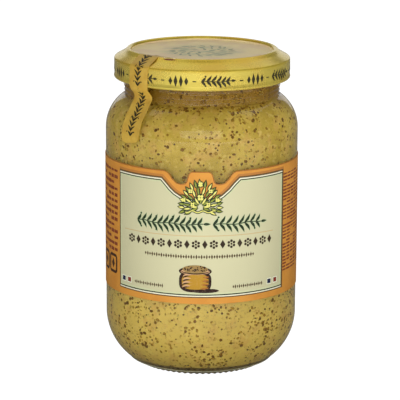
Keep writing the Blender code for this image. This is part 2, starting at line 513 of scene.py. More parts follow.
@dataclass
class Outline:
    """A turned piece's outline, as (radius, height) points in order."""

    points: list[Point] = field(default_factory=list)

    def to(self, *points: Point) -> Outline:
        """Adds points."""
        self.points += points
        return self

    def arc(self, centre: Point, radius: float, start: float, end: float, steps: int) -> Outline:
        """Adds an arc's points, from start to end degrees.

        Args:
            centre: its centre.
            radius: its radius.
            start: where it starts.
            end: where it ends.
            steps: how many parts it is cut into.

        Returns:
            This outline.
        """
        turns = [start + (end - start) * i / steps for i in range(steps + 1)]
        return self.to(*(spoke(centre, radius, turn) for turn in turns))

    def dome(self, radius: float, rim_height: float, rise: float, steps: int = 8) -> Outline:
        """Adds a shallow dome from its middle out to its rim."""
        parts = [i / steps for i in range(steps + 1)]
        return self.to(*((radius * part, rim_height + rise * (1 - part ** 2)) for part in parts))

    def wall(self, end: Point, steps: int = 6) -> Outline:
        """Adds a straight wall from the last point to end, in steps.

        Args:
            end: its last point.
            steps: how many parts it is cut into.

        Returns:
            This outline.
        """
        r, z = self.points[-1]
        parts = [i / steps for i in range(1, steps + 1)]
        return self.to(*((r + (end[0] - r) * part, z + (end[1] - z) * part) for part in parts))

    def bead(self, radius: float, base: float, height: float, out: float, steps: int = 8) -> Outline:
        """Adds a low rounded ring on a straight wall.

        Args:
            radius: the wall's radius.
            base: the ring's lower end.
            height: its height.
            out: how far it stands out.
            steps: how many parts it is cut into.

        Returns:
            This outline.
        """
        parts = [i / steps for i in range(steps + 1)]
        return self.to(*((radius + out * math.sin(math.pi * part) ** 2, base + height * part)
                         for part in parts))

    def shifted(self, distance: float) -> list[Point]:
        """The points moved to the outline's left by distance.

        Args:
            distance: how far they move.

        Returns:
            The moved points.
        """
        moved = []
        for i, (r, z) in enumerate(self.points):
            before, after = self.points[max(i - 1, 0)], self.points[min(i + 1, len(self.points) - 1)]
            dr, dz = after[0] - before[0], after[1] - before[1]
            length = math.hypot(dr, dz)
            moved.append((max(r - dz / length * distance, 0.0) if r else 0.0, z + dr / length * distance))
        return moved


@dataclass(frozen=True)
class Lathe:
    """Turns an outline round the Z axis with Geometry Nodes."""

    segments: int = 192
    turning_radius: float = 10 * MM
    weld: float = 0.001 * MM

    def turned(self, name: str, outline: Outline, material: Finish,
               shape: Callable[[Recipe, Signal], Signal] | None = None) -> Piece:
        """Turns a closed solid.

        Args:
            name: the piece's name.
            outline: from the axis, round the solid's outside, back to the axis.
            material: its finish.
            shape: adds nodes that change the turned mesh.

        Returns:
            The finished piece.
        """
        recipe = Recipe(name + "_turning")
        circle = recipe.add("GeometryNodeCurvePrimitiveCircle", None, {
            "Resolution": recipe.size("Segments", self.segments),
            "Radius": recipe.size("Turning Radius", self.turning_radius)})
        swept = recipe.add("GeometryNodeCurveToMesh", None, {
            "Curve": circle, "Profile Curve": recipe.geometry})
        welded = recipe.add("GeometryNodeMergeByDistance", None, {"Geometry": swept, "Distance": self.weld})
        shaped = shape(recipe, welded) if shape else welded
        start = Workshop.profile([(r - self.turning_radius, -z) for r, z in outline.points])
        return Workshop.smooth(recipe.grown(name, start, shaped, material))


class Print:
    """Flat printed shapes of one ink, drawn in millimetres across and up in their sheet's plane.

    Shapes that follow one another lie at slightly different heights, a step apart, because
    they may overlap.
    """

    step: float = 0.001 * MM
    heights: int = 16
    column: float = 1.0
    widest: float = 1.2
    least_area: float = 1e-7
    leaf_steps: int = 6

    def __init__(self) -> None:
        """Starts with no shapes."""
        self.faces: list[list[Point]] = []

    def face(self, corners: list[Point]) -> None:
        """Adds a polygon, turned to face its reader.

        Args:
            corners: its corners in order.
        """
        pairs = zip(corners, corners[1:] + corners[:1])
        area = sum(a[0] * b[1] - b[0] * a[1] for a, b in pairs)
        if abs(area) > self.least_area:
            self.faces.append(corners if area > 0 else corners[::-1])

    def box(self, left: float, low: float, right: float, high: float) -> None:
        """Adds a box."""
        self.face([(left, low), (right, low), (right, high), (left, high)])

    def lozenge(self, centre: Point, across: float, up: float) -> None:
        """Adds a lozenge from its half sizes."""
        x, y = centre
        self.face([(x - across, y), (x, y - up), (x + across, y), (x, y + up)])

    def line(self, points: list[Point], width: float, taper: bool = False) -> None:
        """Adds a line of a width through points, whose ends run out to nothing if tapered.

        Args:
            points: the points in order.
            width: its width.
            taper: whether its ends run out.
        """
        sides: list[tuple[Point, Point]] = []
        last = len(points) - 1
        for i, (x, y) in enumerate(points):
            before, after = points[max(i - 1, 0)], points[min(i + 1, last)]
            angle = math.atan2(after[1] - before[1], after[0] - before[0])
            half = 0.5 * width
            if taper:
                half *= max(math.sin(math.pi * i / last), 0.02) ** 0.6
            dx, dy = -math.sin(angle) * half, math.cos(angle) * half
            sides.append(((x + dx, y + dy), (x - dx, y - dy)))
        for (a, b), (c, d) in zip(sides, sides[1:]):
            self.face([a, b, d, c])

    def disc(self, centre: Point, across: float, up: float | None = None, sides: int = 12) -> None:
        """Adds an ellipse from its half sizes, or a circle from its radius.

        Args:
            centre: its middle.
            across: half its width, or the circle's radius.
            up: half an ellipse's height.
            sides: how many corners it has.
        """
        turns = [2 * math.pi * i / sides for i in range(sides)]
        high = across if up is None else up
        self.face([(centre[0] + across * math.cos(a), centre[1] + high * math.sin(a)) for a in turns])

    def leaf(self, root: Point, angle: float, length: float, width: float, bend: float = 0.0) -> None:
        """Adds a pointed leaf that grows from its root at an angle in degrees.

        Args:
            root: where it grows from.
            angle: the way it points.
            length: its length.
            width: its width.
            bend: how far it bends aside, as a share of its length.
        """
        along = Vector(spoke((0.0, 0.0), 1.0, angle))
        side = Vector((-along.y, along.x))
        left, right = [], []
        for i in range(self.leaf_steps + 1):
            part = i / self.leaf_steps
            middle = Vector(root) + along * length * part + side * bend * length * math.sin(math.pi * part)
            half = side * 0.5 * width * math.sin(math.pi * part ** 0.8)
            left.append(tuple(middle + half))
            right.append(tuple(middle - half))
        self.face(left + right[::-1][1:-1])

    def turned_up(self, base: float, other: Print) -> None:
        """Adds another print, turned to run upwards from a base height."""
        for corners in other.faces:
            self.face([(-y, base + x) for x, y in corners])

    def mesh(self, name: str) -> bpy.types.Mesh:
        """A flat mesh of the shapes in metres, cut into columns if it is wide, so that it can bend.

        Args:
            name: its name.

        Returns:
            The mesh.
        """
        built = bmesh.new()
        for i, corners in enumerate(self.faces):
            built.faces.new([built.verts.new((x * MM, y * MM, i % self.heights * self.step))
                             for x, y in corners])
        widths = (max(x for x, _ in corners) - min(x for x, _ in corners) for corners in self.faces)
        if any(width > self.widest * self.column for width in widths):
            column = self.column * MM
            xs = [vert.co.x for vert in built.verts]
            for cut in range(math.ceil(min(xs) / column), math.floor(max(xs) / column) + 1):
                bmesh.ops.bisect_plane(built, geom=built.verts[:] + built.edges[:] + built.faces[:],
                                       dist=1e-7, plane_co=(cut * column, 0, 0), plane_no=(1, 0, 0))
        bmesh.ops.triangulate(built, faces=[face for face in built.faces if len(face.verts) > 4])
        return Workshop.mesh(name, built)

    def laid(self, name: str, material: Finish,
             surface: Callable[[float, float, float], Vector]) -> Piece:
        """The shapes as a piece whose points a surface gives, from across, up and how far out.

        Args:
            name: the piece's name.
            material: its ink.
            surface: gives the place of each point.

        Returns:
            The finished piece.
        """
        mesh = self.mesh(name)
        for vert in mesh.vertices:
            vert.co = surface(*vert.co)
        mesh.materials.append(material)
        return Workshop.smooth(Workshop.linked(name, mesh), closed=False)

    def wrapped(self, name: str, material: Finish, girth: float, surface: float,
                repeats: int = 1, pitch: float = 0.0) -> Piece:
        """The shapes as a piece wrapped round the Z axis.

        Args:
            name: the piece's name.
            material: its ink.
            girth: the radius at which a distance across is measured.
            surface: the radius where it lies.
            repeats: how many times it is repeated.
            pitch: the distance across from one to the next, in metres.

        Returns:
            The finished piece.
        """
        recipe = Recipe(name + "_wrap")
        spots = recipe.add("GeometryNodeMeshLine", {"mode": "OFFSET"}, {
            "Count": recipe.size("Repeats", repeats),
            "Offset": recipe.joined(recipe.size("Pitch", pitch), 0.0, 0.0)})
        copies = recipe.add("GeometryNodeInstanceOnPoints", None, {
            "Points": spots, "Instance": recipe.geometry})
        flat = recipe.add("GeometryNodeRealizeInstances", None, {"Geometry": copies})
        bent = recipe.wrapped(flat, girth, surface)
        start = Workshop.linked("flat", self.mesh("flat"))
        return Workshop.smooth(recipe.grown(name, start, bent, material), closed=False)


@dataclass(frozen=True)
class Branch:
    """A laurel branch: pairs of leaves on a wavy stem, berries between them and a leaf at its tip.

    A leaf's length and width and the pitch are in millimetres. The other sizes are shares of
    them, and lean is in degrees.
    """

    leaf: float
    width: float
    pitch: float
    lean: float = 48.0
    stem: float = 0.34
    wave: float = 0.06
    wave_pitches: float = 5.2
    shortest: float = 0.78
    growth: float = 0.3
    droop: float = 0.1
    tip: float = 0.7
    berry: float = 0.36
    berry_back: float = 0.15
    berry_out: float = 0.62
    berry_every: int = 3

    def drawn(self, art: Print, left: float, right: float, middle: float, swell: float = 0.0) -> None:
        """Draws the branch.

        Args:
            art: the print that it is added to.
            left: where it starts across.
            right: where it ends across.
            middle: the height of its stem.
            swell: how much broader everything is, for a halo behind it.
        """
        def stem(x: float) -> float:
            """The stem's height at a place across."""
            return middle + self.wave * self.leaf * math.sin(
                2 * math.pi * (x - left) / (self.wave_pitches * self.pitch))

        count = max(int((right - left) / self.pitch), 2)
        fine = [left + (right - left) * i / (4 * count) for i in range(4 * count + 1)]
        art.line([(x, stem(x)) for x in fine], self.stem * self.width + swell)
        longer = 0.4 * swell
        for i in range(count):
            x = left + i * (right - left) / count
            grown = self.growth * math.sin(math.pi * (i + 0.5) / count)
            length = self.leaf * (self.shortest + grown) + longer
            for side in (-1, 1):
                art.leaf((x, stem(x)), side * self.lean, length, self.width + swell, -side * self.droop)
                if i % self.berry_every == 1:
                    spot = (x - self.berry_back * self.pitch, stem(x) + side * self.berry_out * self.leaf)
                    art.disc(spot, self.berry * self.width + 0.5 * swell, sides=8)
        art.leaf((right, stem(right)), 0, self.tip * self.leaf + longer, self.width + swell)


@dataclass(frozen=True)
class Patches:
    """Soft patches of one colour, where noise rises from a low to a high threshold."""

    colour: Colour
    grain: float
    low: float
    high: float
    share: float = 1.0
    detail: float = 2.0
    roughness: float = 0.5

    def noise(self, dressing: Dressing) -> Signal:
        """The noise that places the patches."""
        return dressing.noise(dressing.point(), self.grain, self.detail, self.roughness)

    def over(self, dressing: Dressing, ground: Signal | Colour) -> Signal:
        """A ground's colour with the patches laid over it."""
        mask = self.noise(dressing).smooth(self.low, self.high) * self.share
        return dressing.blend(mask, ground, self.colour)


@dataclass(frozen=True)
class Band:
    """A colour that comes in from a low to a high height, or goes out there if it falls."""

    colour: Colour
    low: float
    high: float
    share: float
    falls: bool = False

    def over(self, dressing: Dressing, ground: Signal | Colour) -> Signal:
        """A ground's colour with the band laid over it.

        Args:
            dressing: the material's nodes.
            ground: the colour below.

        Returns:
            The mixed colour.
        """
        _, _, height = dressing.split(dressing.point())
        rise = height.smooth(self.low, self.high)
        return dressing.blend((1 - rise if self.falls else rise) * self.share, ground, self.colour)


@dataclass(frozen=True)
class PasteFinish:
    """Ground mustard: olive and ochre clouds, tan, pale and dark grains, painted light that makes it paler
    towards its foot, and a throat darkened by painted shade under the lid.
    """

    olive: Colour = paint(208, 176, 62)
    ochre: Patches = Patches(paint(226, 195, 82), 9 * MM, 0.4, 0.6)
    # painted light: the paste is made paler towards its foot, to lift the heel where it is shaded
    painted_foot_light: Band = Band(paint(250, 218, 112), 30 * MM, 76 * MM, 0.6, falls=True)
    tan: Patches = Patches(paint(222, 176, 88), 4.5 * MM, 0.48, 0.66, 0.6)
    pale: Patches = Patches(paint(238, 212, 112), 2.3 * MM, 0.54, 0.7, 0.6)
    grain: Patches = Patches(paint(170, 118, 34), 1.1 * MM, 0.54, 0.7, 0.6, 3.0, 0.6)
    meal: Patches = Patches(paint(238, 212, 112), 0.7 * MM, 0.58, 0.74, 0.4, 2.0, 0.55)
    # painted shade: the throat is darkened where the lid shades the neck
    throat: Band = Band(paint(158, 110, 0), 99 * MM, 106.5 * MM, 0.88)
    roughness: float = 0.6
    relief: float = 0.1 * MM

    def material(self) -> Finish:
        """The filling's material.

        Returns:
            The material.
        """
        paste = Dressing("mustard_paste")
        colour = self.olive
        for layer in (self.ochre, self.painted_foot_light, self.tan, self.pale, self.grain, self.meal, self.throat):
            colour = layer.over(paste, colour)
        paste.set({"Base Color": colour, "Roughness": self.roughness})
        paste.bump(self.grain.noise(paste), self.relief, 0.3)
        return paste.material


@dataclass(frozen=True)
class HuskFinish:
    """Bits of seed coat in the paste, each with a tone of its own between two colours."""

    name: str
    dark: Colour
    light: Colour
    own_tone: float = 0.8
    speckle: float = 0.3 * MM
    roughness: float = 0.5

    def material(self) -> Finish:
        """The bits' material.

        Returns:
            The material.
        """
        husk = Dressing(self.name)
        tone = husk.add("ShaderNodeAttribute", {"attribute_name": "tone"}, None, "Fac")
        speckle = husk.noise(husk.point(), self.speckle)
        colour = husk.blend(tone * self.own_tone + speckle * (1 - self.own_tone), self.dark, self.light)
        husk.set({"Base Color": colour, "Roughness": self.roughness})
        return husk.material


@dataclass(frozen=True)
class GlassFinish:
    """Clear soda-lime glass with a faint green cast."""

    tint: Colour = (0.93, 0.965, 0.93, 1.0)
    roughness: float = 0.08
    ripple: float = 14 * MM
    relief: float = 0.2 * MM

    def material(self) -> Finish:
        """The jar's material, which lets light through to what stands in its shadow.

        Returns:
            The material.
        """
        glass = Dressing("clear_glass")
        ripple = glass.noise(glass.stretched((1.0, 1.0, 0.4)), self.ripple, 1.0)
        glass.set({"Base Color": self.tint, "Transmission Weight": 1.0, "IOR": 1.5,
                   "Roughness": self.roughness})
        glass.bump(ripple, self.relief, 0.12)
        clear = glass.add("ShaderNodeBsdfTransparent", None, {"Color": self.tint})
        glass.mixed(glass.add("ShaderNodeLightPath", None, None, "Is Shadow Ray"), clear)
        return glass.material


@dataclass(frozen=True)
class LacquerFinish:
    """Gold lacquer over tinplate: satin and cloudy, paler on the skirt by a painted sheen, with faint
    drawing lines.
    """

    gold: Colour = paint(232, 205, 74)
    deep: Patches = Patches(paint(224, 186, 58), 16 * MM, 0.4, 0.65)
    # painted sheen: the skirt is made paler all round in place of the front highlight
    skirt: Band = Band(paint(234, 218, 112), 116.6 * MM, 117.8 * MM, 0.4, falls=True)
    drawing: float = 1.2 * MM
    grain: float = 0.25 * MM
    metallic: float = 0.55
    roughness: float = 0.2
    coat: float = 0.3
    coat_roughness: float = 0.12

    def material(self) -> Finish:
        """The lid's material.

        Returns:
            The material.
        """
        lacquer = Dressing("gold_lacquer")
        lines = lacquer.noise(lacquer.stretched((0.05, 0.05, 6.0)), self.drawing)
        fine = lacquer.noise(lacquer.point(), self.grain)
        rough = self.roughness + 0.1 * self.deep.noise(lacquer) + 0.04 * fine
        lacquer.set({"Base Color": self.skirt.over(lacquer, self.deep.over(lacquer, self.gold)),
                     "Metallic": self.metallic, "Roughness": rough,
                     "Coat Weight": self.coat, "Coat Roughness": self.coat_roughness})
        lacquer.bump(lines * 0.9 + fine * 0.1, 0.03 * MM, 0.2)
        return lacquer.material


@dataclass(frozen=True)
class PaperFinish:
    """Printed paper: one colour with soft unevenness, fibres and a satin varnish."""

    name: str
    colour: Colour
    uneven: Colour
    roughness: float = 0.6
    varnish: float = 0.03
    patches: float = 7 * MM
    fibres: float = 0.3 * MM
    relief: float = 0.02 * MM

    def material(self) -> Finish:
        """The paper's material.

        Returns:
            The material.
        """
        paper = Dressing(self.name)
        fibres = paper.noise(paper.stretched((1.0, 1.0, 0.45)), self.fibres, 3.0, 0.6)
        patches = paper.noise(paper.point(), self.patches, 3.0, 0.55)
        mask = patches.smooth(0.36, 0.68) * 0.75 + fibres.smooth(0.4, 0.7) * 0.25
        paper.set({"Base Color": paper.blend(mask, self.colour, self.uneven),
                   "Roughness": self.roughness + 0.1 * fibres, "Specular IOR Level": MATT_GLOSS,
                   "Coat Weight": self.varnish, "Coat Roughness": 0.3})
        paper.bump(fibres, self.relief, 0.35)
        return paper.material


@dataclass(frozen=True)
class InkFinish:
    """One printing ink, slightly uneven in its cover, so that the pale sheet under it shows."""

    name: str
    colour: Colour
    wear: float = 0.12
    roughness: float = 0.5
    under: Colour = (0.6, 0.55, 0.4, 1.0)
    cover: float = 0.6 * MM

    def material(self) -> Finish:
        """The ink's material.

        Returns:
            The material.
        """
        ink = Dressing(self.name)
        thin = tuple(own + (below - own) * self.wear for own, below in zip(self.colour, self.under))
        worn = Patches(thin, self.cover, 0.45, 0.75, detail=3.0, roughness=0.6)
        ink.set({"Base Color": worn.over(ink, self.colour),
                 "Roughness": self.roughness + 0.1 * worn.noise(ink), "Specular IOR Level": MATT_GLOSS})
        return ink.material


@dataclass(frozen=True)
class WashFinish:
    """The lid panel's soft print: a beige ground with a grey-green wash in its middle and a rosy cast."""

    name: str
    ground: Colour = paint(252, 230, 170)
    rose: Patches = Patches(paint(246, 219, 170), 9 * MM, 0.42, 0.62)
    wash: Colour = paint(208, 204, 156)
    wash_full: float = 9 * MM
    wash_end: float = 19 * MM
    wash_least: float = 0.35
    clouds: float = 5 * MM
    roughness: float = 0.42

    def material(self) -> Finish:
        """The print's material.

        Returns:
            The material.
        """
        picture = Dressing(self.name)
        x, y, _ = picture.split(picture.point())
        reach = picture.maths("SQRT", x * x + y * y)
        clouds = picture.noise(picture.point(), self.clouds, 3.0, 0.6)
        cloudy = self.wash_least + clouds.smooth(0.38, 0.62) * (1 - self.wash_least)
        mask = (1 - reach.smooth(self.wash_full, self.wash_end)) * cloudy
        picture.set({"Base Color": picture.blend(mask, self.rose.over(picture, self.ground), self.wash),
                     "Roughness": self.roughness + 0.1 * clouds, "Specular IOR Level": MATT_GLOSS})
        return picture.material


@dataclass
class Jar:
    """The clear jar: foot ring, rounded heel, body, shoulder, short neck and finish."""

    body_radius: float = 36.45 * MM
    wall: float = 2.4 * MM
    heel_arc: float = 21.85 * MM
    heel_top: float = 19.7 * MM
    heel_steps: int = 44
    shoulder_arc: float = 15.0 * MM
    shoulder_base: float = 91.2 * MM
    shoulder_steps: int = 26
    inner_steps: int = 20
    neck_radius: float = 29.1 * MM
    neck_fillet: float = 1.5 * MM
    foot_width: float = 1.6 * MM
    push_up: float = 2.2 * MM
    floor_edge: float = 4.8 * MM
    floor_rise: float = 1.2 * MM
    beads: tuple[tuple[float, float, float], ...] = (
        (105.1 * MM, 1.1 * MM, 0.3 * MM), (106.7 * MM, 1.5 * MM, 0.5 * MM))
    finish_base: float = 109.6 * MM
    finish_radius: float = 29.6 * MM
    finish_slope: float = 1.0 * MM
    inner_neck: float = 26.7 * MM
    rim_top: float = 119.0 * MM
    rim_round: float = 0.7 * MM
    teeth: int = 66
    segments_per_tooth: int = 6
    tooth_depth: float = 0.42 * MM
    tooth_fade: float = 0.5 * MM
    cut_in: float = 0.6
    cut_up: float = 0.8
    highlight_height: float = 2.1 * MM
    highlight_radius: float = 0.24 * MM
    knurl_height: float = 2.3 * MM

    def heel(self, outline: Outline, inset: float, floor: float, steps: int = 1) -> Outline:
        """Adds the heel's arc from a floor height up to the body.

        Args:
            outline: what it is added to.
            inset: how far inside the glass's outer face.
            floor: the height where it starts.
            steps: how many parts it is cut into.

        Returns:
            The outline.
        """
        radius = self.heel_arc - inset
        start = -math.degrees(math.asin((self.heel_top - floor) / radius))
        return outline.arc((self.body_radius - self.heel_arc, self.heel_top), radius, start, 0, steps)

    def shoulder(self, outline: Outline, inset: float, end: float, steps: int) -> Outline:
        """Adds the shoulder's arc from the body up to an angle in degrees."""
        centre = (self.body_radius - self.shoulder_arc, self.shoulder_base)
        return outline.arc(centre, self.shoulder_arc - inset, 0, end, steps)

    def shoulder_angle(self, inset: float, radius: float) -> float:
        """The angle in degrees at which the inset shoulder has come in to a radius."""
        across = radius - self.body_radius + self.shoulder_arc
        return math.degrees(math.acos(across / (self.shoulder_arc - inset)))

    def outside(self) -> Outline:
        """The glass from the middle of its underside, up its outside to the top of its rim.

        Returns:
            The outline.
        """
        foot = self.heel(Outline(), 0, 0, self.heel_steps).points
        line = Outline().dome(foot[0][0] - self.foot_width, 0, self.push_up)
        line.wall(foot[0], 4).to(*foot[1:]).wall((self.body_radius, self.shoulder_base))
        hollow = self.neck_radius + self.neck_fillet
        across = hollow - (self.body_radius - self.shoulder_arc)
        up = math.sqrt((self.shoulder_arc + self.neck_fillet) ** 2 - across ** 2)
        end = math.degrees(math.atan2(up, across))
        self.shoulder(line, 0, end, self.shoulder_steps)
        line.arc((hollow, self.shoulder_base + up), self.neck_fillet, end + 180, 180, 8)
        for base, height, out in self.beads:
            line.bead(self.neck_radius, base, height, out)
        line.to((self.neck_radius, self.finish_base),
                (self.finish_radius, self.finish_base + self.finish_slope))
        return line.arc((self.finish_radius - self.rim_round, self.rim_top - self.rim_round),
                        self.rim_round, 0, 90, 6)

    def outline(self) -> Outline:
        """The glass from the middle of its underside, up its outside and down its inside.

        Returns:
            The outline.
        """
        line = self.outside()
        line.arc((self.inner_neck + self.rim_round, self.rim_top - self.rim_round),
                 self.rim_round, 90, 180, 6)
        neck = self.shoulder_angle(self.wall, self.inner_neck)
        inside = self.shoulder(Outline(), self.wall, neck, self.inner_steps)
        lower = self.heel(Outline(), self.wall, self.floor_edge, 26)
        line.to(*inside.points[::-1]).to(*lower.points[::-1])
        floor = Outline().dome(lower.points[0][0], self.floor_edge, self.floor_rise)
        return line.to(*floor.points[::-1][1:])

    def knurled(self, recipe: Recipe, geometry: Signal) -> Signal:
        """Adds the fine teeth that are moulded round the foot.

        Args:
            recipe: the jar's tree.
            geometry: the turned jar.

        Returns:
            The cut jar.
        """
        x, y, z = recipe.split(recipe.position())
        radius = recipe.maths("SQRT", x * x + y * y)
        teeth = recipe.size("Teeth", self.teeth)
        depth = recipe.size("Tooth Depth", self.tooth_depth)
        top = recipe.size("Knurl Height", self.knurl_height)
        inner = self.heel(Outline(), 0, 0).points[0][0] - self.foot_width
        wave = (x.maths("ARCTAN2", y) * teeth).maths("COSINE") * 0.5 + 0.5
        band = (1 - z.smooth(top * 0.8, top)) * radius.smooth(inner - self.tooth_fade, inner)
        cut = wave * band * depth
        move = recipe.joined(x / radius * cut * -self.cut_in, y / radius * cut * -self.cut_in,
                             cut * self.cut_up)
        return recipe.add("GeometryNodeSetPosition", None, {"Geometry": geometry, "Offset": move})

    def build(self) -> None:
        """Makes the glass in place of its CAD node, and a pale ring above its foot that is a painted
        highlight of the heel's edge.
        """
        lathe = Lathe(segments=self.segments_per_tooth * self.teeth)
        piece = lathe.turned("glass_jar", self.outline(), GlassFinish().material(), self.knurled)
        Workshop.fitted(piece, "glass", "jar_glass")
        centre = self.heel(Outline(), 0, self.highlight_height).points[0]
        line = Outline().arc(centre, self.highlight_radius, 40, -150, 8).points
        # painted highlight: an opaque pale ring stands in for the light caught at the glass's heel edge
        pale = InkFinish("painted_heel_highlight", paint(176, 172, 140), 0.3, 0.3).material()
        Workshop.fitted(Workshop.turned_sheet("heel_highlight_ring", line, pale), "glass")


class Husk(Enum):
    """The kinds of bits that show in the paste.

    Each holds a name, bits for each square metre, smallest and largest size, flatness,
    and a dark and a light colour.
    """

    BLACK = ("black_husk", 66000.0, 0.8 * MM, 1.75 * MM, 0.35, paint(100, 66, 0), paint(152, 108, 4))
    BROWN = ("brown_husk", 116000.0, 0.65 * MM, 1.5 * MM, 0.35, paint(160, 118, 14), paint(196, 154, 42))
    PALE = ("pale_meal", 40000.0, 0.4 * MM, 1.1 * MM, 0.3, paint(206, 178, 84), paint(218, 196, 108))


@dataclass
class Filling:
    """The mustard: a solid paste that meets the glass, and bits of seed coat at its face.

    The bits lie closer in clumps, below the label and in the throat.
    """

    jar: Jar
    wet: float = 0.07 * MM
    level: float = 112.5 * MM
    bare_top: float = 1.0 * MM
    segments: int = 160
    hidden_low: float = 34.0 * MM
    hidden_high: float = 74.0 * MM
    clump: float = 9.0 * MM
    between: float = 0.25
    in_clump: float = 1.8
    below: float = 1.3
    thinning: float = 0.35
    thinning_low: float = 40.0 * MM
    thinning_high: float = 80.0 * MM
    throat: float = 2.4
    throat_low: float = 98.0 * MM
    throat_high: float = 104.0 * MM

    def outline(self) -> Outline:
        """The paste from the middle of its underside up to the middle of its level.

        Returns:
            The outline.
        """
        inset = self.jar.wall - self.wet
        floor = self.jar.floor_edge - self.wet
        edge = self.jar.heel(Outline(), inset, floor, 30).points
        line = Outline().dome(edge[0][0], floor, self.jar.floor_rise)
        line.to(*edge[1:]).wall((self.jar.body_radius - inset, self.jar.shoulder_base), 40)
        neck = self.jar.inner_neck + self.wet
        self.jar.shoulder(line, inset, self.jar.shoulder_angle(inset, neck), 22)
        return line.wall((neck, self.level)).to((0.0, self.level))

    def crowding(self, recipe: Recipe, height: Signal) -> Signal:
        """How closely the bits lie at a point, as a share of their density.

        Args:
            recipe: the bits' tree.
            height: the point's height.

        Returns:
            The share.
        """
        clumps = recipe.noise(recipe.position(), self.clump).smooth(0.3, 0.75)
        thinned = height.smooth(self.thinning_low, self.thinning_high) * self.thinning
        thicker = height.smooth(self.throat_low, self.throat_high) * self.throat
        return (clumps * self.in_clump + self.between) * (self.below - thinned + thicker)

    def scattered(self, husk: Husk, seed: int, core: Piece) -> None:
        """Strews one kind of bits over the paste where the label doesn't hide it.

        Args:
            husk: the kind.
            seed: its fixed seed.
            core: the paste.
        """
        name, density, small, large, flat, dark, light = husk.value
        recipe = Recipe(name + "_strewn")
        _, _, z = recipe.split(recipe.position())
        points = recipe.add("GeometryNodeDistributePointsOnFaces", None, {
            "Mesh": recipe.geometry, "Seed": recipe.size("Seed", seed),
            "Density": self.crowding(recipe, z) * recipe.size("Density", density)})
        above = z > recipe.size("Hidden From", self.hidden_low)
        hidden = above * (z < recipe.size("Hidden To", self.hidden_high))
        kept = recipe.add("GeometryNodeDeleteGeometry", {"domain": "POINT"}, {
            "Geometry": points, "Selection": hidden + (z > self.level - self.bare_top)})
        toned = recipe.add("GeometryNodeStoreNamedAttribute", {"data_type": "FLOAT", "domain": "POINT"}, {
            "Geometry": kept, "Name": "tone", "Value": recipe.chance(0.0, 1.0, seed + 5)})
        lean = recipe.add("FunctionNodeAxisAngleToRotation", None, {
            "Axis": (0.0, 0.0, 1.0), "Angle": recipe.chance(0.0, 2 * math.pi, seed + 1)})
        turned = recipe.add("FunctionNodeRotateRotation", {"rotation_space": "LOCAL"}, {
            "Rotation": points.output("Rotation"), "Rotate By": lean})
        part = recipe.chance(0.0, 1.0, seed + 2)
        size = recipe.size("Smallest", small) + part * part * (large - small)
        scale = recipe.joined(size * recipe.chance(0.65, 1.0, seed + 3),
                              size * recipe.chance(0.8, 1.25, seed + 4),
                              size * recipe.size("Flatness", flat))
        bit = recipe.add("GeometryNodeMeshIcoSphere", None, {"Radius": 0.5, "Subdivisions": 1})
        bits = recipe.add("GeometryNodeInstanceOnPoints", None, {
            "Points": toned, "Instance": bit, "Rotation": turned, "Scale": scale})
        start = Workshop.linked("strewing", core.data.copy())
        piece = recipe.grown(name, start, bits, HuskFinish(name, dark, light).material())
        Workshop.fitted(Workshop.smooth(piece, 180), "mustard")

    def build(self) -> None:
        """Makes the paste in place of its CAD node, and the bits in it."""
        lathe = Lathe(segments=self.segments)
        core = lathe.turned("mustard_paste", self.outline(), PasteFinish().material())
        for seed, husk in enumerate(Husk):
            self.scattered(husk, 10 * seed + 3, core)
        Workshop.fitted(core, "mustard", "mustard")


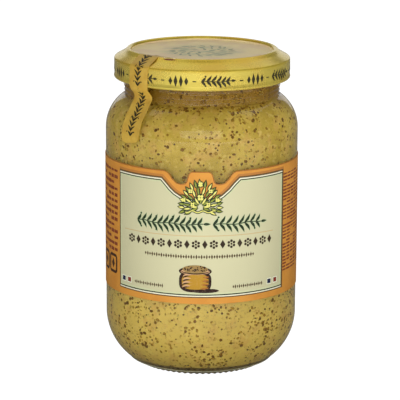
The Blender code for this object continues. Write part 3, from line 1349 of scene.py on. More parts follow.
@dataclass
class Lid:
    """The gold lid: rolled lower edge, skirt, sloping shoulder, crest and sunken panel."""

    sheet: float = 0.4 * MM
    radius: float = 33.2 * MM
    segments: int = 224
    base: float = 110.3 * MM
    corner_round: float = 0.9 * MM
    skirt_top: float = 117.4 * MM
    curl_round: float = 0.8 * MM
    curl_out: float = 0.1 * MM
    groove_height: float = 2.6 * MM
    groove_depth: float = 0.1 * MM
    crest_top: float = 121.35 * MM
    crest_round: float = 0.9 * MM
    crest_radius: float = 27.75 * MM
    panel_height: float = 119.9 * MM
    panel_round: float = 0.6 * MM
    crest_normal: float = 46.0
    slope_normal: float = 61.0
    ink: float = 0.02 * MM
    repeats: int = 7
    motif_height: float = 114.0

    def top(self) -> Outline:
        """The outer face from the middle of the panel, over the crest, to the skirt's foot.

        Returns:
            The outline.
        """
        wall = self.crest_radius - self.crest_round
        line = Outline([(0.0, self.panel_height)]).wall((0.94 * wall, self.panel_height), 12)
        line.arc((wall - self.panel_round, self.panel_height + self.panel_round), self.panel_round,
                 -90, 0, 5)
        line.arc((self.crest_radius, self.crest_top - self.crest_round), self.crest_round,
                 180, self.crest_normal, 15)
        corner = Outline().arc((self.radius - self.corner_round, self.skirt_top), self.corner_round,
                               self.slope_normal, 0, 10).points
        fall = math.tan(math.radians(90 - self.slope_normal))
        steeper = fall - math.tan(math.radians(90 - self.crest_normal))
        r, z = line.points[-1]
        foot = (corner[0][1] + (corner[0][0] - r) * fall - z) / steeper
        line.to((r + 0.5 * foot, z - 0.5 * foot), (r + foot + 0.2 * MM, z - foot - 0.2 * MM * fall))
        line.wall(corner[0]).to(*corner[1:])
        groove = self.base + self.groove_height
        line.wall((self.radius, groove + 0.6 * MM))
        return line.to((self.radius - self.groove_depth, groove),
                       (self.radius - self.groove_depth - 0.02 * MM, groove - 0.4 * MM))

    def outline(self) -> Outline:
        """The sheet: outer face, rolled lower edge and back up the inner face.

        Returns:
            The outline.
        """
        top = self.top()
        curl = Outline().arc((self.radius + self.curl_out - self.curl_round, self.base + self.curl_round),
                             self.curl_round, 35, -180, 18)
        inner = Outline(top.points[:-3]).shifted(-self.sheet)
        end = (self.radius - self.sheet, self.base + 2.2 * self.curl_round)
        return top.to(*curl.points).to(end).to(*inner[::-1])

    def skirt_motif(self) -> Print:
        """One repeat of the skirt's ornament: a leafy branch, a dash, a chain of lozenges and a dash.

        Returns:
            The print.
        """
        art = Print()
        middle = self.motif_height
        Branch(2.9, 0.95, 1.8).drawn(art, 0.0, 11.0, middle)
        for dash in (14.5, 26.6):
            art.box(dash, middle - 0.2, dash + 1.4, middle + 0.2)
        for i, tall in enumerate((1.5, 2.2, 2.2, 1.5)):
            art.lozenge((18.3 + 2.0 * i, middle), 0.75, tall)
        return art

    def panel_art(self) -> Print:
        """The panel's picture: a faint wreath of leaves, all leaning one way.

        Returns:
            The print.
        """
        art = Print()
        dice = random.Random(11)
        for ring, count in ((2.4, 6), (6.2, 13), (10.0, 21)):
            for i in range(count):
                turn = 360 * i / count + dice.uniform(-4, 4)
                root = spoke((0.0, 0.0), ring, turn)
                art.leaf(root, turn + 42, dice.uniform(3.6, 4.2), dice.uniform(0.8, 1.3))
        return art

    def over(self, radius: float) -> float:
        """Height of the outer face at a radius on the crest or outside it.

        Args:
            radius: the distance from the lid's axis.

        Returns:
            The height.
        """
        points = [point for point in self.top().points if point[0] >= self.crest_radius]
        for (r, z), (after, low) in zip(points, points[1:]):
            if r <= radius < after:
                return z + (low - z) * (radius - r) / (after - r)
        return points[0][1]

    def crest_mark(self, name: str, tone: Colour, reach: float) -> Piece:
        """A small mark that runs along the crest's front at a radius.

        Args:
            name: the piece's name.
            tone: its colour.
            reach: its distance from the lid's axis.

        Returns:
            The finished piece.
        """
        art = Print()
        art.leaf((-14.8, 0.0), 0, 5.6, 0.55)
        return art.laid(name, InkFinish(name, tone).material(), lambda x, y, out: place(
            reach - y, x / reach, self.over(reach - y) + self.ink))

    def build(self) -> None:
        """Makes the lid in place of its CAD node, and the prints on it."""
        slot = "gold_lacquer"
        sheet = Lathe(segments=self.segments).turned("gold_lid", self.outline(), LacquerFinish().material())
        Workshop.fitted(sheet, slot, "lid")
        # the panel's print, and up the crest's inner fillet a painted highlight of the rim in the same pale
        # colour
        panel = [point for point in self.top().shifted(self.ink)
                 if point[0] < self.crest_radius and point[1] < self.panel_height + self.panel_round]
        picture = WashFinish("panel_picture").material()
        Workshop.fitted(Workshop.turned_sheet("panel_ground_and_rim_highlight", panel, picture), slot)
        height = self.panel_height + 2 * self.ink
        green = InkFinish("panel_green", paint(158, 162, 128), 0.3).material()
        Workshop.fitted(self.panel_art().laid("panel_leaves", green, lambda x, y, out: Vector(
            (x, y, height + out))), slot)
        ink = InkFinish("skirt_ink", paint(48, 42, 14), 0.08).material()
        pitch = 2 * math.pi * self.radius / self.repeats
        Workshop.fitted(self.skirt_motif().wrapped(
            "skirt_ornament", ink, self.radius, self.radius + self.ink, self.repeats, pitch), slot)
        Workshop.fitted(self.crest_mark("crest_pale_mark", paint(246, 228, 206), 28.05 * MM), slot)
        Workshop.fitted(self.crest_mark("crest_red_mark", paint(112, 44, 26), 28.6 * MM), slot)


@dataclass(frozen=True)
class Rows:
    """Rows of short dashes that fill a block of the label, as small print does."""

    name: str
    left: float
    low: float
    width: float
    height: float
    columns: int
    rows: int
    dash: float
    seed: int
    gaps: float = 0.1

    def grown(self, material: Finish, girth: float, surface: float) -> Piece:
        """Makes the dashes with Geometry Nodes and wraps them round the jar.

        Args:
            material: its ink.
            girth: the radius at which a distance across is measured.
            surface: the radius where they lie.

        Returns:
            The finished piece.
        """
        recipe = Recipe(self.name + "_rows")
        grid = recipe.add("GeometryNodeMeshGrid", None, {
            "Size X": recipe.size("Width", self.width), "Size Y": recipe.size("Height", self.height),
            "Vertices X": recipe.size("Columns", self.columns),
            "Vertices Y": recipe.size("Rows", self.rows)})
        dash = recipe.add("GeometryNodeMeshGrid", None, {
            "Size X": self.width / (self.columns - 1), "Size Y": recipe.size("Dash", self.dash),
            "Vertices X": 3, "Vertices Y": 2})
        spots = recipe.add("GeometryNodeSetPosition", None, {
            "Geometry": grid, "Offset": (self.left + 0.5 * self.width, self.low + 0.5 * self.height, 0.0)})
        gap = recipe.chance(0.0, 1.0, recipe.size("Seed", self.seed)) < self.gaps
        kept = recipe.add("GeometryNodeDeleteGeometry", {"domain": "POINT"}, {
            "Geometry": spots, "Selection": gap})
        stretch = recipe.joined(recipe.chance(0.7, 1.0, self.seed + 1),
                                recipe.chance(0.7, 1.1, self.seed + 2), 1.0)
        copies = recipe.add("GeometryNodeInstanceOnPoints", None, {
            "Points": kept, "Instance": dash, "Scale": stretch})
        flat = recipe.add("GeometryNodeRealizeInstances", None, {"Geometry": copies})
        bent = recipe.wrapped(flat, girth, surface)
        start = Workshop.linked("rows", bpy.data.meshes.new("rows"))
        return Workshop.smooth(recipe.grown(self.name, start, bent, material), closed=False)


@dataclass
class Label:
    """The paper label wrapped round the body, and everything that is printed on it.

    Prints are drawn in millimetres, across from the middle of its front and up from the
    jar's foot. The sheet's own sizes are in metres, and its turns in degrees.
    """

    radius: float = 36.7 * MM
    paper: float = 0.16 * MM
    girth: float = 36.6 * MM
    base: float = 31.1 * MM
    top: float = 81.25 * MM
    tiers: int = 6
    cut: tuple[Point, ...] = ((3.0, 0.0), (3.8, 0.3), (4.3, 1.0), (4.65, 2.2), (4.95, 3.6), (5.7, 4.5),
                              (7.2, 4.75), (8.8, 4.4), (10.3, 3.1), (11.7, 1.2), (12.6, 0.4), (13.7, 0.0))
    panel: tuple[Point, ...] = (
        (-35.5, 33.5), (35.6, 33.5), (35.6, 78.9), (14.6, 78.8), (12.5, 76.9), (10.4, 74.6), (7.9, 72.5),
        (5.5, 71.0), (-5.5, 71.0), (-7.4, 72.2), (-9.4, 73.4), (-11.2, 75.0), (-13.0, 77.0),
        (-14.6, 78.6), (-35.5, 78.6))
    lift: float = 0.02 * MM
    seam: float = 152.0
    overlap: float = 5.0
    step_down: float = 3.0
    front: float = 24.0
    front_step: float = 0.6
    back_step: float = 1.5
    art: defaultdict[str, Print] = field(default_factory=lambda: defaultdict(Print))

    def edge(self, across: float) -> float:
        """Height of the die-cut upper edge at a distance round the body.

        Args:
            across: the distance from the front's middle.

        Returns:
            The height.
        """
        away = abs(across) / MM
        for (start, high), (end, low) in zip(self.cut, self.cut[1:]):
            if start <= away < end:
                part = (away - start) / (end - start)
                return self.top - (high + (low - high) * (0.5 * part + 0.5 * ease(part))) * MM
        return self.top

    def sheet(self, material: Finish) -> Piece:
        """The paper: one long closed sheet that overlaps itself at the back.

        Args:
            material: the paper.

        Returns:
            The finished piece.
        """
        start = self.seam - 360 - self.overlap
        turns = [start]
        while turns[-1] < self.seam:
            step = self.front_step if abs(turns[-1]) < self.front else self.back_step
            turns.append(min(turns[-1] + step, self.seam))
        rings = []
        for degrees in turns:
            under = ease((start + self.overlap + self.step_down - degrees) / self.step_down)
            outer = self.radius - 1.05 * self.paper * under
            azimuth = math.radians(degrees)
            height = self.edge(azimuth * self.girth) - self.base
            heights = [self.base + height * i / self.tiers for i in range(self.tiers + 1)]
            rings.append([place(outer, azimuth, z) for z in heights] +
                         [place(outer - self.paper, azimuth, z) for z in heights[::-1]])
        return Workshop.closed_sheet("label_paper", rings, material)

    def framed(self, name: str, left: float, low: float, right: float, high: float) -> None:
        """Draws the framed panel as one shape, with each side moved in by its own inset.

        Args:
            name: the print's name.
            left: the left side's inset.
            low: the lower side's inset.
            right: the right side's inset.
            high: the inset of the cut upper edge.
        """
        corners = [Vector(point) for point in self.panel]
        insets = [low, right] + [high] * (len(corners) - 3) + [left]
        edges = [(after - here).normalized() for here, after in zip(corners, corners[1:] + corners[:1])]
        inward = [(-edge.y, edge.x) for edge in edges]
        moved = []
        for i, corner in enumerate(corners):
            (a, b), (c, d) = inward[i - 1], inward[i]
            first, second = insets[i - 1], insets[i]
            turn = a * d - b * c
            if abs(turn) > 0.02:
                shift = ((first * d - second * b) / turn, (a * second - c * first) / turn)
            else:
                shift = (a * first, b * first)
            moved.append((corner.x + shift[0], corner.y + shift[1]))
        self.art[name].face(moved)

    def sprig(self) -> None:
        """Draws the emblem's place: a dense bunch of leaves and four-petalled blossoms on a ribbon."""
        dark, olive, yellow = (self.art[name] for name in ("dark_green_print", "leaf_light", "blossoms"))
        base = 68.0
        dice = random.Random(8)
        for near, length, count, spread in ((0.8, 3.4, 9, 112), (3.5, 3.3, 14, 116), (5.7, 2.9, 19, 104)):
            for i in range(count):
                turn = spread * (2 * i / (count - 1) - 1)
                across, up = math.sin(math.radians(turn)), math.cos(math.radians(turn))
                tall = 1 + 0.26 * up ** 4
                lean = 90 - turn + dice.uniform(-9, 9)
                root = (near * tall * across, base + near * tall * up)
                dark.leaf(root, lean, length * tall, 1.5)
                inner = (root[0] + 0.3 * across, root[1] + 0.3 * up)
                (yellow if i % 2 else olive).leaf(inner, lean, 0.76 * length * tall, 0.68)
        for x, y, size in ((0, 76.6, 1.0), (-3.7, 74.0, 0.9), (3.7, 74.0, 0.9), (-6.2, 70.6, 0.9),
                           (6.2, 70.6, 0.9), (0, 71.6, 1.3), (-2.9, 69.0, 0.9), (2.9, 69.0, 0.9)):
            dark.disc((x, y), 1.25 * size)
            for turn in (45, 135, 225, 315):
                yellow.disc(spoke((x, y), 0.55 * size, turn), 0.42 * size, sides=8)
        ribbon = [(x, 66.3 + 0.35 * math.sin(1.6 * x)) for x in (0.5 * i for i in range(-12, 13))]
        dark.line(ribbon, 1.0)
        yellow.line(ribbon[1:-1], 0.36)

    def branches(self) -> None:
        """Draws the two leafy branches under the emblem's place, with their halo, and the rule below."""
        branch = Branch(4.0, 1.05, 2.15, 54.0)
        for left, right in ((-25.2, 1.0), (4.6, 23.8)):
            branch.drawn(self.art["dark_green_print"], left, right, 61.4)
            branch.drawn(self.art["branch_halo"], left, right, 61.4, 0.5)
        self.art["tan_rule"].line([(x, 57.1 - 0.00035 * x * x) for x in range(-32, 31, 2)], 0.24)

    def frieze(self) -> None:
        """Draws the main ornamental row: rosettes and lozenges."""
        art = self.art["brown_frieze"]
        middle, pitch = 53.85, 3.3
        for i in range(18):
            x = -28.0 + i * pitch
            if i % 2:
                art.lozenge((x, middle), 1.0, 1.65)
            else:
                for turn in range(30, 390, 60):
                    art.disc(spoke((x, middle), 1.15, turn), 0.52, sides=10)
                art.disc((x, middle), 0.42, sides=8)

    def beaded(self, left: float, right: float, low: float, height: float, pitch: float) -> None:
        """Draws a fine row of tall and short lozenges in turn.

        Args:
            left: where it starts.
            right: where it ends.
            low: its lower edge.
            height: its height.
            pitch: the distance from one to the next.
        """
        for i in range(int((right - left) / pitch)):
            up = (0.5 if i % 2 else 0.34) * height
            self.art["fine_rows"].lozenge((left + (i + 0.5) * pitch, low + 0.5 * height), 0.42 * pitch, up)

    def bowl(self) -> None:
        """Draws the picture's place: a round bowl heaped with seeds, and its shadow."""
        outline, amber, glow, shade, seeds, strokes = (self.art["bowl_" + name] for name in (
            "outline", "amber", "glow", "shade", "seeds", "strokes"))
        middle = -1.8

        def belly(across: float, up: float) -> list[Point]:
            """The bowl's rounded body from its half sizes.

            Args:
                across: half its width.
                up: half its height.

            Returns:
                Its corners.
            """
            turns = [2 * math.pi * i / 36 for i in range(36)]
            return [(middle + across * math.copysign(abs(math.cos(a)) ** 0.72, math.cos(a)),
                     39.7 + up * math.copysign(abs(math.sin(a)) ** 0.62, math.sin(a))) for a in turns]

        outline.disc((1.6, 36.2), 5.4, 0.85, 28)
        outline.face(belly(6.0, 4.1))
        amber.face(belly(4.95, 3.0))
        for i in range(4):
            y = 37.5 + 1.4 * i
            glow.leaf((-6.75 + 0.12 * i, y), 10, 3.4, 0.9, 0.1)
            strokes.leaf((-6.9 + 0.12 * i, y - 0.62), 14, 3.2, 0.55, 0.1)
            shade.leaf((3.25, y - 0.1), 184, 3.2 - 0.3 * i, 0.9, 0.08)
            strokes.leaf((3.4, y - 0.5), 186, 1.8 - 0.2 * i, 0.45, 0.08)
        outline.disc((middle, 43.6), 6.1, 1.9, 28)
        glow.disc((middle, 43.5), 5.4, 1.15, 28)
        strokes.line([(middle + 5.3 * math.cos(a), 43.9 + 1.2 * math.sin(a))
                      for a in (math.pi * (1 + i / 14) for i in range(15))], 0.45, True)
        heap, heap_height = 4.7, 44.4
        seeds.disc((middle, heap_height), heap, 1.6, 28)
        dice = random.Random(4)
        for _ in range(40):
            x, y = dice.uniform(-6.0, 2.4), dice.uniform(-0.9, 1.45)
            swell = math.sqrt(max(1 - ((x - middle) / heap) ** 2, 0))
            strokes.disc((x, heap_height + y * swell), 0.3, 0.2, 6)

    def marks(self) -> None:
        """Draws the small blue and red marks in the panel's lower corners."""
        for middle, name in ((-32.5, "blue_marks"), (28.2, "blue_marks"), (-29.4, "red_marks"),
                             (31.4, "red_marks")):
            self.art["mark_borders"].box(middle - 1.15, 36.35, middle + 1.15, 38.65)
            self.art[name].box(middle - 0.85, 36.65, middle + 0.85, 38.35)

    def boxed(self, left: float, low: float, width: float = 5.6, height: float = 6.4) -> None:
        """Draws a small framed box with round corners and a lozenge in it, on the label's side.

        Args:
            left: its left edge.
            low: its lower edge.
            width: its width.
            height: its height.
        """
        art = self.art["side_boxes"]
        corner = 1.0
        spots = []
        for x, y, start in ((left + width, low, 270), (left + width, low + height, 0),
                            (left, low + height, 90), (left, low, 180)):
            centre = (x + corner if x == left else x - corner, y + corner if y == low else y - corner)
            spots += [spoke(centre, corner, start + 30 * i) for i in range(4)]
        art.line(spots + spots[:2], 1.1)
        art.lozenge((left + 0.5 * width, low + 0.5 * height), 1.3, 2.0)

    def slip(self) -> None:
        """Draws the plain slip at the back, with its ruled lines."""
        self.art["back_slip"].box(-90, 40, -66, 72)
        for row in range(7):
            self.art["back_rules"].box(-87.5, 44 + 4 * row, -68.5, 44.25 + 4 * row)

    def drawn(self) -> None:
        """Draws every print."""
        for name, insets in (("panel_soft_shadow", (0.0, -0.1, -0.8, -1.1)),
                             ("panel_shadow", (0.15, 0.0, -0.6, -0.25)),
                             ("panel_white_line", (0.4, 0.4, 0.2, 0.4)),
                             ("panel_keyline", (0.4, 0.85, 0.2, 0.85)),
                             ("panel_pale_band", (0.7, 1.3, 0.4, 1.25)),
                             ("panel_cream", (1.6, 1.9, 1.3, 1.7))):
            self.framed(name, *insets)
        around = [0.25 * i for i in range(-440, 380)]
        self.art["edge_shade"].line([(x, self.edge(x * MM) / MM - 0.2) for x in around], 0.36)
        self.sprig()
        self.branches()
        self.frieze()
        self.beaded(-21.8, 21.6, 48.2, 1.9, 0.95)
        for left, right in ((-26.7, -13.4), (12.1, 25.5)):
            self.beaded(left, right, 36.5, 1.8, 0.8)
        self.bowl()
        self.marks()
        for left in (-43.7, -51.2):
            self.boxed(left, 38.2)
        self.slip()

    def build(self) -> None:
        """Makes the paper in place of its CAD node, and its prints layer by layer."""
        slot = "label_paper"
        orange = PaperFinish("orange_paper", paint(215, 149, 60), paint(205, 136, 52)).material()
        Workshop.fitted(self.sheet(orange), slot, "label")
        self.drawn()
        inks = (
            ("panel_soft_shadow", 1, paint(184, 120, 52)), ("panel_shadow", 2, paint(104, 78, 42)),
            ("panel_white_line", 3, paint(236, 234, 206)), ("panel_keyline", 4, paint(34, 42, 18)),
            ("panel_pale_band", 5, paint(203, 208, 164)), ("panel_cream", 6, paint(203, 199, 159)),
            ("branch_halo", 7, paint(192, 205, 160)), ("tan_rule", 7, paint(202, 172, 122)),
            ("brown_frieze", 7, paint(50, 34, 18)), ("mark_borders", 7, paint(236, 238, 214)),
            ("blue_marks", 8, paint(18, 28, 60)), ("red_marks", 8, paint(132, 46, 26)),
            ("dark_green_print", 8, paint(26, 48, 22)), ("bowl_outline", 7, paint(48, 22, 12)),
            ("bowl_amber", 8, paint(182, 136, 28)), ("bowl_glow", 9, paint(204, 160, 114)),
            ("bowl_shade", 9, paint(166, 104, 34)), ("bowl_seeds", 10, paint(154, 124, 68)),
            ("bowl_strokes", 11, paint(48, 22, 12)), ("leaf_light", 9, paint(138, 146, 56)),
            ("blossoms", 10, paint(226, 220, 118)), ("fine_rows", 7, paint(84, 66, 40)),
            ("edge_shade", 1, paint(164, 104, 40)), ("side_boxes", 1, paint(70, 42, 18)),
            ("back_slip", 1, paint(228, 223, 184)), ("back_rules", 2, paint(120, 96, 60)))
        first_fine = 7
        for name, layer, colour in inks:
            ink = InkFinish(name, colour, 0.04 if layer < first_fine else 0.1).material()
            piece = self.art[name].wrapped(name, ink, self.girth, self.radius + layer * self.lift)
            Workshop.fitted(piece, slot)
        rust = InkFinish("rust_print", paint(132, 58, 24)).material()
        for rows in (Rows("right_block", 37.4 * MM, 40.0 * MM, 26.0 * MM, 37.0 * MM, 9, 31, 0.66 * MM, 8),
                     Rows("left_block", -62.0 * MM, 47.0 * MM, 23.6 * MM, 30.5 * MM, 9, 14, 1.25 * MM, 9)):
            Workshop.fitted(rows.grown(rust, self.girth, self.radius + self.lift), slot)


@dataclass
class SealStrip:
    """The paper strip from the panel over the rim, into the neck's hollow and down the shoulder."""

    jar: Jar
    lid: Lid
    width: float = 9.6 * MM
    paper: float = 0.14 * MM
    clear: float = 0.14 * MM
    azimuth: float = -44.1
    drift: float = -1.6
    start: float = 20.4 * MM
    end: float = 89.3 * MM
    end_slope: float = 0.12
    corner: float = 2.1 * MM
    dip: Point = (30.5 * MM, 105.7 * MM)
    touch: float = 42.0
    curl: float = 0.45 * MM
    least_radius: float = 22.0 * MM
    ripple: float = 0.28 * MM
    ripple_height: float = 106.5 * MM
    ripple_reach: float = 4.0 * MM
    fold: float = 0.1 * MM
    fold_height: float = 109.3 * MM
    fold_reach: float = 0.9 * MM
    crinkle: float = 0.03 * MM
    loosening: float = 3.0 * MM
    print_lift: float = 0.02 * MM
    spacing: float = 0.5 * MM
    columns: int = 16

    def __post_init__(self) -> None:
        """Lays out the strip's middle line at even steps."""
        self.path = self.resampled(self.rough_path())

    @staticmethod
    def eased(start: Point, end: Point, steps: int = 8) -> list[Point]:
        """Points from start to end whose radius changes smoothly with height.

        Args:
            start: the first point.
            end: the last point.
            steps: how many parts it is cut into.

        Returns:
            The points.
        """
        parts = [i / steps for i in range(steps + 1)]
        return [(start[0] + (end[0] - start[0]) * ease(part), start[1] + (end[1] - start[1]) * part)
                for part in parts]

    def rough_path(self) -> list[Point]:
        """The middle line over the lid, into the neck's hollow and down the shoulder.

        Returns:
            Its points, as (radius, height).
        """
        lid, clear = self.lid, self.clear
        panel = lid.panel_height
        line = Outline([(self.start, panel + clear), (23.6 * MM, panel + clear),
                        (25.2 * MM, panel + 0.3 * MM), (26.4 * MM, panel + 1.0 * MM)])
        line.arc((lid.crest_radius, lid.crest_top - lid.crest_round), lid.crest_round + clear,
                 130, lid.slope_normal, 6)
        line.arc((lid.radius - lid.corner_round, lid.skirt_top), lid.corner_round + clear,
                 lid.slope_normal, 0, 5)
        foot = (lid.radius + lid.curl_out + clear, lid.base)
        line.to(*((foot[0], z * MM) for z in (115.0, 113.0, 111.4)))
        glass = self.jar.shoulder(Outline(), -clear, self.touch, 14).points[::-1]
        line.to(*self.eased(foot, self.dip)).to(*self.eased(self.dip, glass[0])[1:]).to(*glass[1:])
        return line.to((self.jar.body_radius + clear, self.end)).points

    def resampled(self, points: list[Point]) -> list[Point]:
        """The line at even steps, with its corners eased.

        Args:
            points: the line.

        Returns:
            The points at even steps.
        """
        even = [points[0]]
        left = self.spacing
        for (r, z), (s, y) in zip(points, points[1:]):
            length = math.hypot(s - r, y - z)
            done = 0.0
            while length - done > left:
                done += left
                left = self.spacing
                even.append((r + (s - r) * done / length, z + (y - z) * done / length))
            left -= length - done
        even.append(points[-1])
        for _ in range(2):
            inner = [((a[0] + 2 * b[0] + c[0]) / 4, (a[1] + 2 * b[1] + c[1]) / 4)
                     for a, b, c in zip(even, even[1:], even[2:])]
            even = [even[0]] + inner + [even[-1]]
        return even

    def waves(self, across: float, along: float, height: float) -> float:
        """How far the paper stands off its middle line: ripples, small folds and a curled side.

        Args:
            across: distance from its middle line, to the right.
            along: distance from its start on the panel.
            height: height above the jar's foot.

        Returns:
            The distance out.
        """
        free = math.exp(-((height - self.ripple_height) / self.ripple_reach) ** 2)
        ripple = noise.noise(Vector((across * 260, along * 180, 2.0)))
        pinched = math.exp(-((height - self.fold_height) / self.fold_reach) ** 2)
        fold = math.sin(along * 2200 + across * 240) * pinched
        loose = ease((self.lid.base - self.loosening - height) / self.loosening)
        side = ease((abs(across) - 0.3 * self.width) / (0.2 * self.width)) * (1.0 if across > 0 else 0.5)
        return (self.ripple * free * ripple + self.fold * fold + self.crinkle * abs(ripple)
                + self.curl * loose * side)

    def spot(self, across: float, along: float, lift: float) -> Vector:
        """A point on the strip.

        Args:
            across: distance from its middle line, to the right.
            along: distance from its start on the panel.
            lift: distance out from the paper's middle.

        Returns:
            The point in space.
        """
        steps = min(max(along / self.spacing, 0.0), len(self.path) - 1.001)
        i = int(steps)
        part = steps - i
        (r, z), (s, y) = self.path[i], self.path[i + 1]
        before, after = self.path[max(i - 1, 0)], self.path[min(i + 2, len(self.path) - 1)]
        dr, dz = after[0] - before[0], after[1] - before[1]
        length = math.hypot(dr, dz)
        radius, height = r + (s - r) * part, z + (y - z) * part
        fall = ease((self.lid.crest_top - height) / (self.lid.crest_top - self.jar.shoulder_base))
        azimuth = math.radians(self.azimuth + self.drift * fall) + across / max(radius, self.least_radius)
        lift += self.waves(across, along, height)
        return place(radius - dz / length * lift, azimuth, height + dr / length * lift)

    def half_width(self, left: float) -> float:
        """Half the width at a distance from the end, where the corners are rounded."""
        into = min(max(self.corner - left, 0.0), self.corner)
        return 0.5 * self.width - self.corner + math.sqrt(self.corner ** 2 - into ** 2)

    def sheet(self, material: Finish) -> Piece:
        """The paper as a thin closed sheet, whose lower end is cut at a slant.

        Args:
            material: the paper.

        Returns:
            The finished piece.
        """
        total = (len(self.path) - 1) * self.spacing
        rings = []
        for step in range(len(self.path)):
            along = step * self.spacing
            half = self.half_width(total - along)
            offsets = [half * (2 * j / self.columns - 1) for j in range(self.columns + 1)]
            slant = self.end_slope * ease(1 - (total - along) / (8 * MM))
            places = [(x, along - (x + half) * slant) for x in offsets]
            rings.append([self.spot(x, s, 0.5 * self.paper) for x, s in places] +
                         [self.spot(x, s, -0.5 * self.paper) for x, s in places[::-1]])
        return Workshop.closed_sheet("gold_strip", rings, material, 50)

    def art(self) -> Print:
        """The print that runs up the strip: a leafy branch on the shoulder and one on the skirt.

        Returns:
            The print.
        """
        drawn = Print()
        for start, length in ((-42.6, 18.2), (-21.6, 17.0)):
            part = Print()
            Branch(3.1, 0.8, 1.8, 42.0).drawn(part, 0.0, length, 0.0)
            drawn.turned_up(start, part)
        return drawn

    def build(self) -> None:
        """Makes the strip in place of its CAD node, and its print."""
        paper = PaperFinish("gold_strip_paper", paint(208, 172, 70), paint(195, 152, 54), 0.42, 0.2, 3 * MM)
        Workshop.fitted(self.sheet(paper.material()), "strip_paper", "seal_strip")
        ink = InkFinish("strip_ink", paint(44, 38, 14), 0.08).material()
        lift = 0.5 * self.paper + self.print_lift
        piece = self.art().laid("strip_branch", ink, lambda x, y, out: self.spot(x, -y, lift + out))
        Workshop.fitted(piece, "strip_paper")


@dataclass(frozen=True)
class Softbox:
    """A soft light: its name, place, what it faces, size, brightness, and whether gloss mirrors it."""

    name: str
    place: tuple[float, float, float]
    target: tuple[float, float, float]
    across: float
    up: float
    brightness: float
    mirrored: bool = True

    def build(self) -> None:
        """Hangs the light."""
        light = bpy.data.lights.new(self.name, "AREA")
        light.shape = "RECTANGLE"
        light.size, light.size_y = self.across, self.up
        light.energy = self.brightness * math.pi * self.across * self.up
        lamp = Workshop.linked(self.name, light)
        lamp.visible_glossy = self.mirrored
        lamp.visible_camera = False
        lamp.location = self.place
        aim = Vector(self.target) - Vector(self.place)
        lamp.rotation_euler = aim.to_track_quat("-Z", "Y").to_euler()


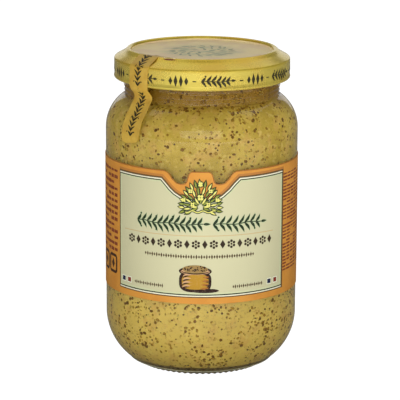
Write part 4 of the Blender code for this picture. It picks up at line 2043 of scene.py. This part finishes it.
@dataclass
class Studio:
    """The pale floor, the soft lights and the camera at the photograph's viewing angle."""

    distance: float = 861.95 * MM
    elevation: float = 13.086
    roll: float = 0.316
    aside: float = -0.532 * MM
    aim_height: float = 62.18 * MM
    turn: float = 0.55
    focal_pixels: float = 2250.25
    pixels: float = 400.0
    sensor: float = 36.0
    surroundings: float = 0.13
    floor_tone: float = 0.95
    floor_dim: float = 0.34
    floor_half: float = 2.5
    floor_glow: float = 1.1
    white: Colour = (1.0, 1.0, 1.0, 1.0)
    lights: tuple[Softbox, ...] = (
        Softbox("key_front", (0.08, -1.35, 0.5), (0.0, 0.0, 0.06), 2.6, 1.1, 1.08, False),
        Softbox("fill_low", (0.58, -0.33, 0.003), (0.58, -0.33, 1.0), 1.4, 0.54, 1.3, False),
        Softbox("card_front", (0.0, -0.75, 0.003), (0.0, -0.75, 1.0), 1.3, 0.5, 0.75),
        Softbox("side_left", (-1.3, -0.5, 0.4), (0.0, 0.0, 0.08), 0.9, 0.8, 1.2, False),
        Softbox("side_right", (1.3, -0.45, 0.22), (0.0, 0.0, 0.03), 0.9, 0.4, 1.3, False),
        Softbox("sheen_front", (0.0, -1.5, 0.55), (0.0, 0.0, 0.11), 1.4, 0.6, 1.35),
        Softbox("backdrop", (0.0, 2.2, 0.5), (0.0, 0.0, 0.1), 1.9, 0.9, 0.7),
        Softbox("overhead", (0.0, 1.1, 1.7), (0.0, 1.1, 0.0), 3.0, 2.4, 0.66))

    def camera(self) -> None:
        """Places the camera, without shift or depth of field."""
        e, roll = math.radians(self.elevation), math.radians(self.roll)
        forward = Vector((0, math.cos(e), -math.sin(e)))
        up, right = Vector((0, math.sin(e), math.cos(e))), Vector((1, 0, 0))
        right_rolled = math.cos(roll) * right + math.sin(roll) * up
        up_rolled = math.cos(roll) * up - math.sin(roll) * right
        eye = Vector((self.aside, 0, self.aim_height)) - forward * self.distance
        axes = Matrix((right_rolled, up_rolled, -forward)).transposed()
        data = bpy.data.cameras.new("camera")
        data.sensor_width = self.sensor
        data.lens = self.focal_pixels * self.sensor / self.pixels
        data.clip_start, data.clip_end = 0.01, 20.0
        data.dof.use_dof = False
        rig = Workshop.linked("camera", data)
        rig.matrix_world = Matrix.Rotation(math.radians(self.turn), 4, "Z") @ (
            Matrix.Translation(eye) @ axes.to_4x4())
        bpy.context.scene.camera = rig

    def floor(self) -> None:
        """Lays the plain pale floor, which lights the jar from below only where a painted pool of light
        brightens it in front, and is darkened under the jar by a painted shadow.
        """
        mesh = bpy.data.meshes.new("floor")
        h = self.floor_half
        mesh.from_pydata([(-h, -h, 0), (h, -h, 0), (h, h, 0), (-h, h, 0)], [], [(0, 1, 2, 3)])
        pale = Dressing("pale_floor")
        x, y, _ = pale.split(pale.point())
        reach = pale.maths("SQRT", x * x + y * y)
        ahead = y * -1.0
        # painted light: the floor is brighter in a strip in front of the jar
        lit = ahead.smooth(0.0, 0.15) * (1 - ahead.smooth(1.0, 1.15))
        tone = self.floor_dim + (self.floor_tone - self.floor_dim) * lit
        # painted shadow: the floor darkens under the jar's foot
        tone = tone * reach.smooth(0.012, 0.022)
        pale.set({"Base Color": pale.joined(tone, tone, tone), "Roughness": 0.8, "Specular IOR Level": 0.2})
        bright = pale.add("ShaderNodeEmission", None, {"Color": self.white, "Strength": self.floor_glow})
        pale.mixed(pale.add("ShaderNodeLightPath", None, None, "Is Camera Ray"), bright)
        mesh.materials.append(pale.material)
        Workshop.linked("floor", mesh)

    def sky(self) -> None:
        """Makes the surroundings white to the camera and dim to everything else."""
        world = bpy.data.worlds.new("surroundings")
        world.use_nodes = True
        sky = Wiring(world.node_tree)
        seen = sky.add("ShaderNodeLightPath", None, None, "Is Camera Ray")
        backdrop = world.node_tree.nodes["Background"]
        sky.feed(backdrop.inputs["Color"], self.white)
        sky.feed(backdrop.inputs["Strength"], seen * (1 - self.surroundings) + self.surroundings)
        bpy.context.scene.world = world

    def build(self) -> None:
        """Sets the floor, the lights, the surroundings and the camera."""
        self.floor()
        for light in self.lights:
            light.build()
        self.sky()
        bpy.context.scene.view_settings.view_transform = "Standard"
        self.camera()


def main() -> None:
    """Builds the jar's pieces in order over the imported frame."""
    logging.basicConfig(level=logging.INFO, format="%(name)s %(message)s")
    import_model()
    jar, lid = Jar(), Lid()
    for part in (Studio(), jar, Filling(jar), lid, Label(), SealStrip(jar, lid)):
        part.build()
        LOG.info("%s is ready", type(part).__name__)


if __name__ == "__main__":
    main()
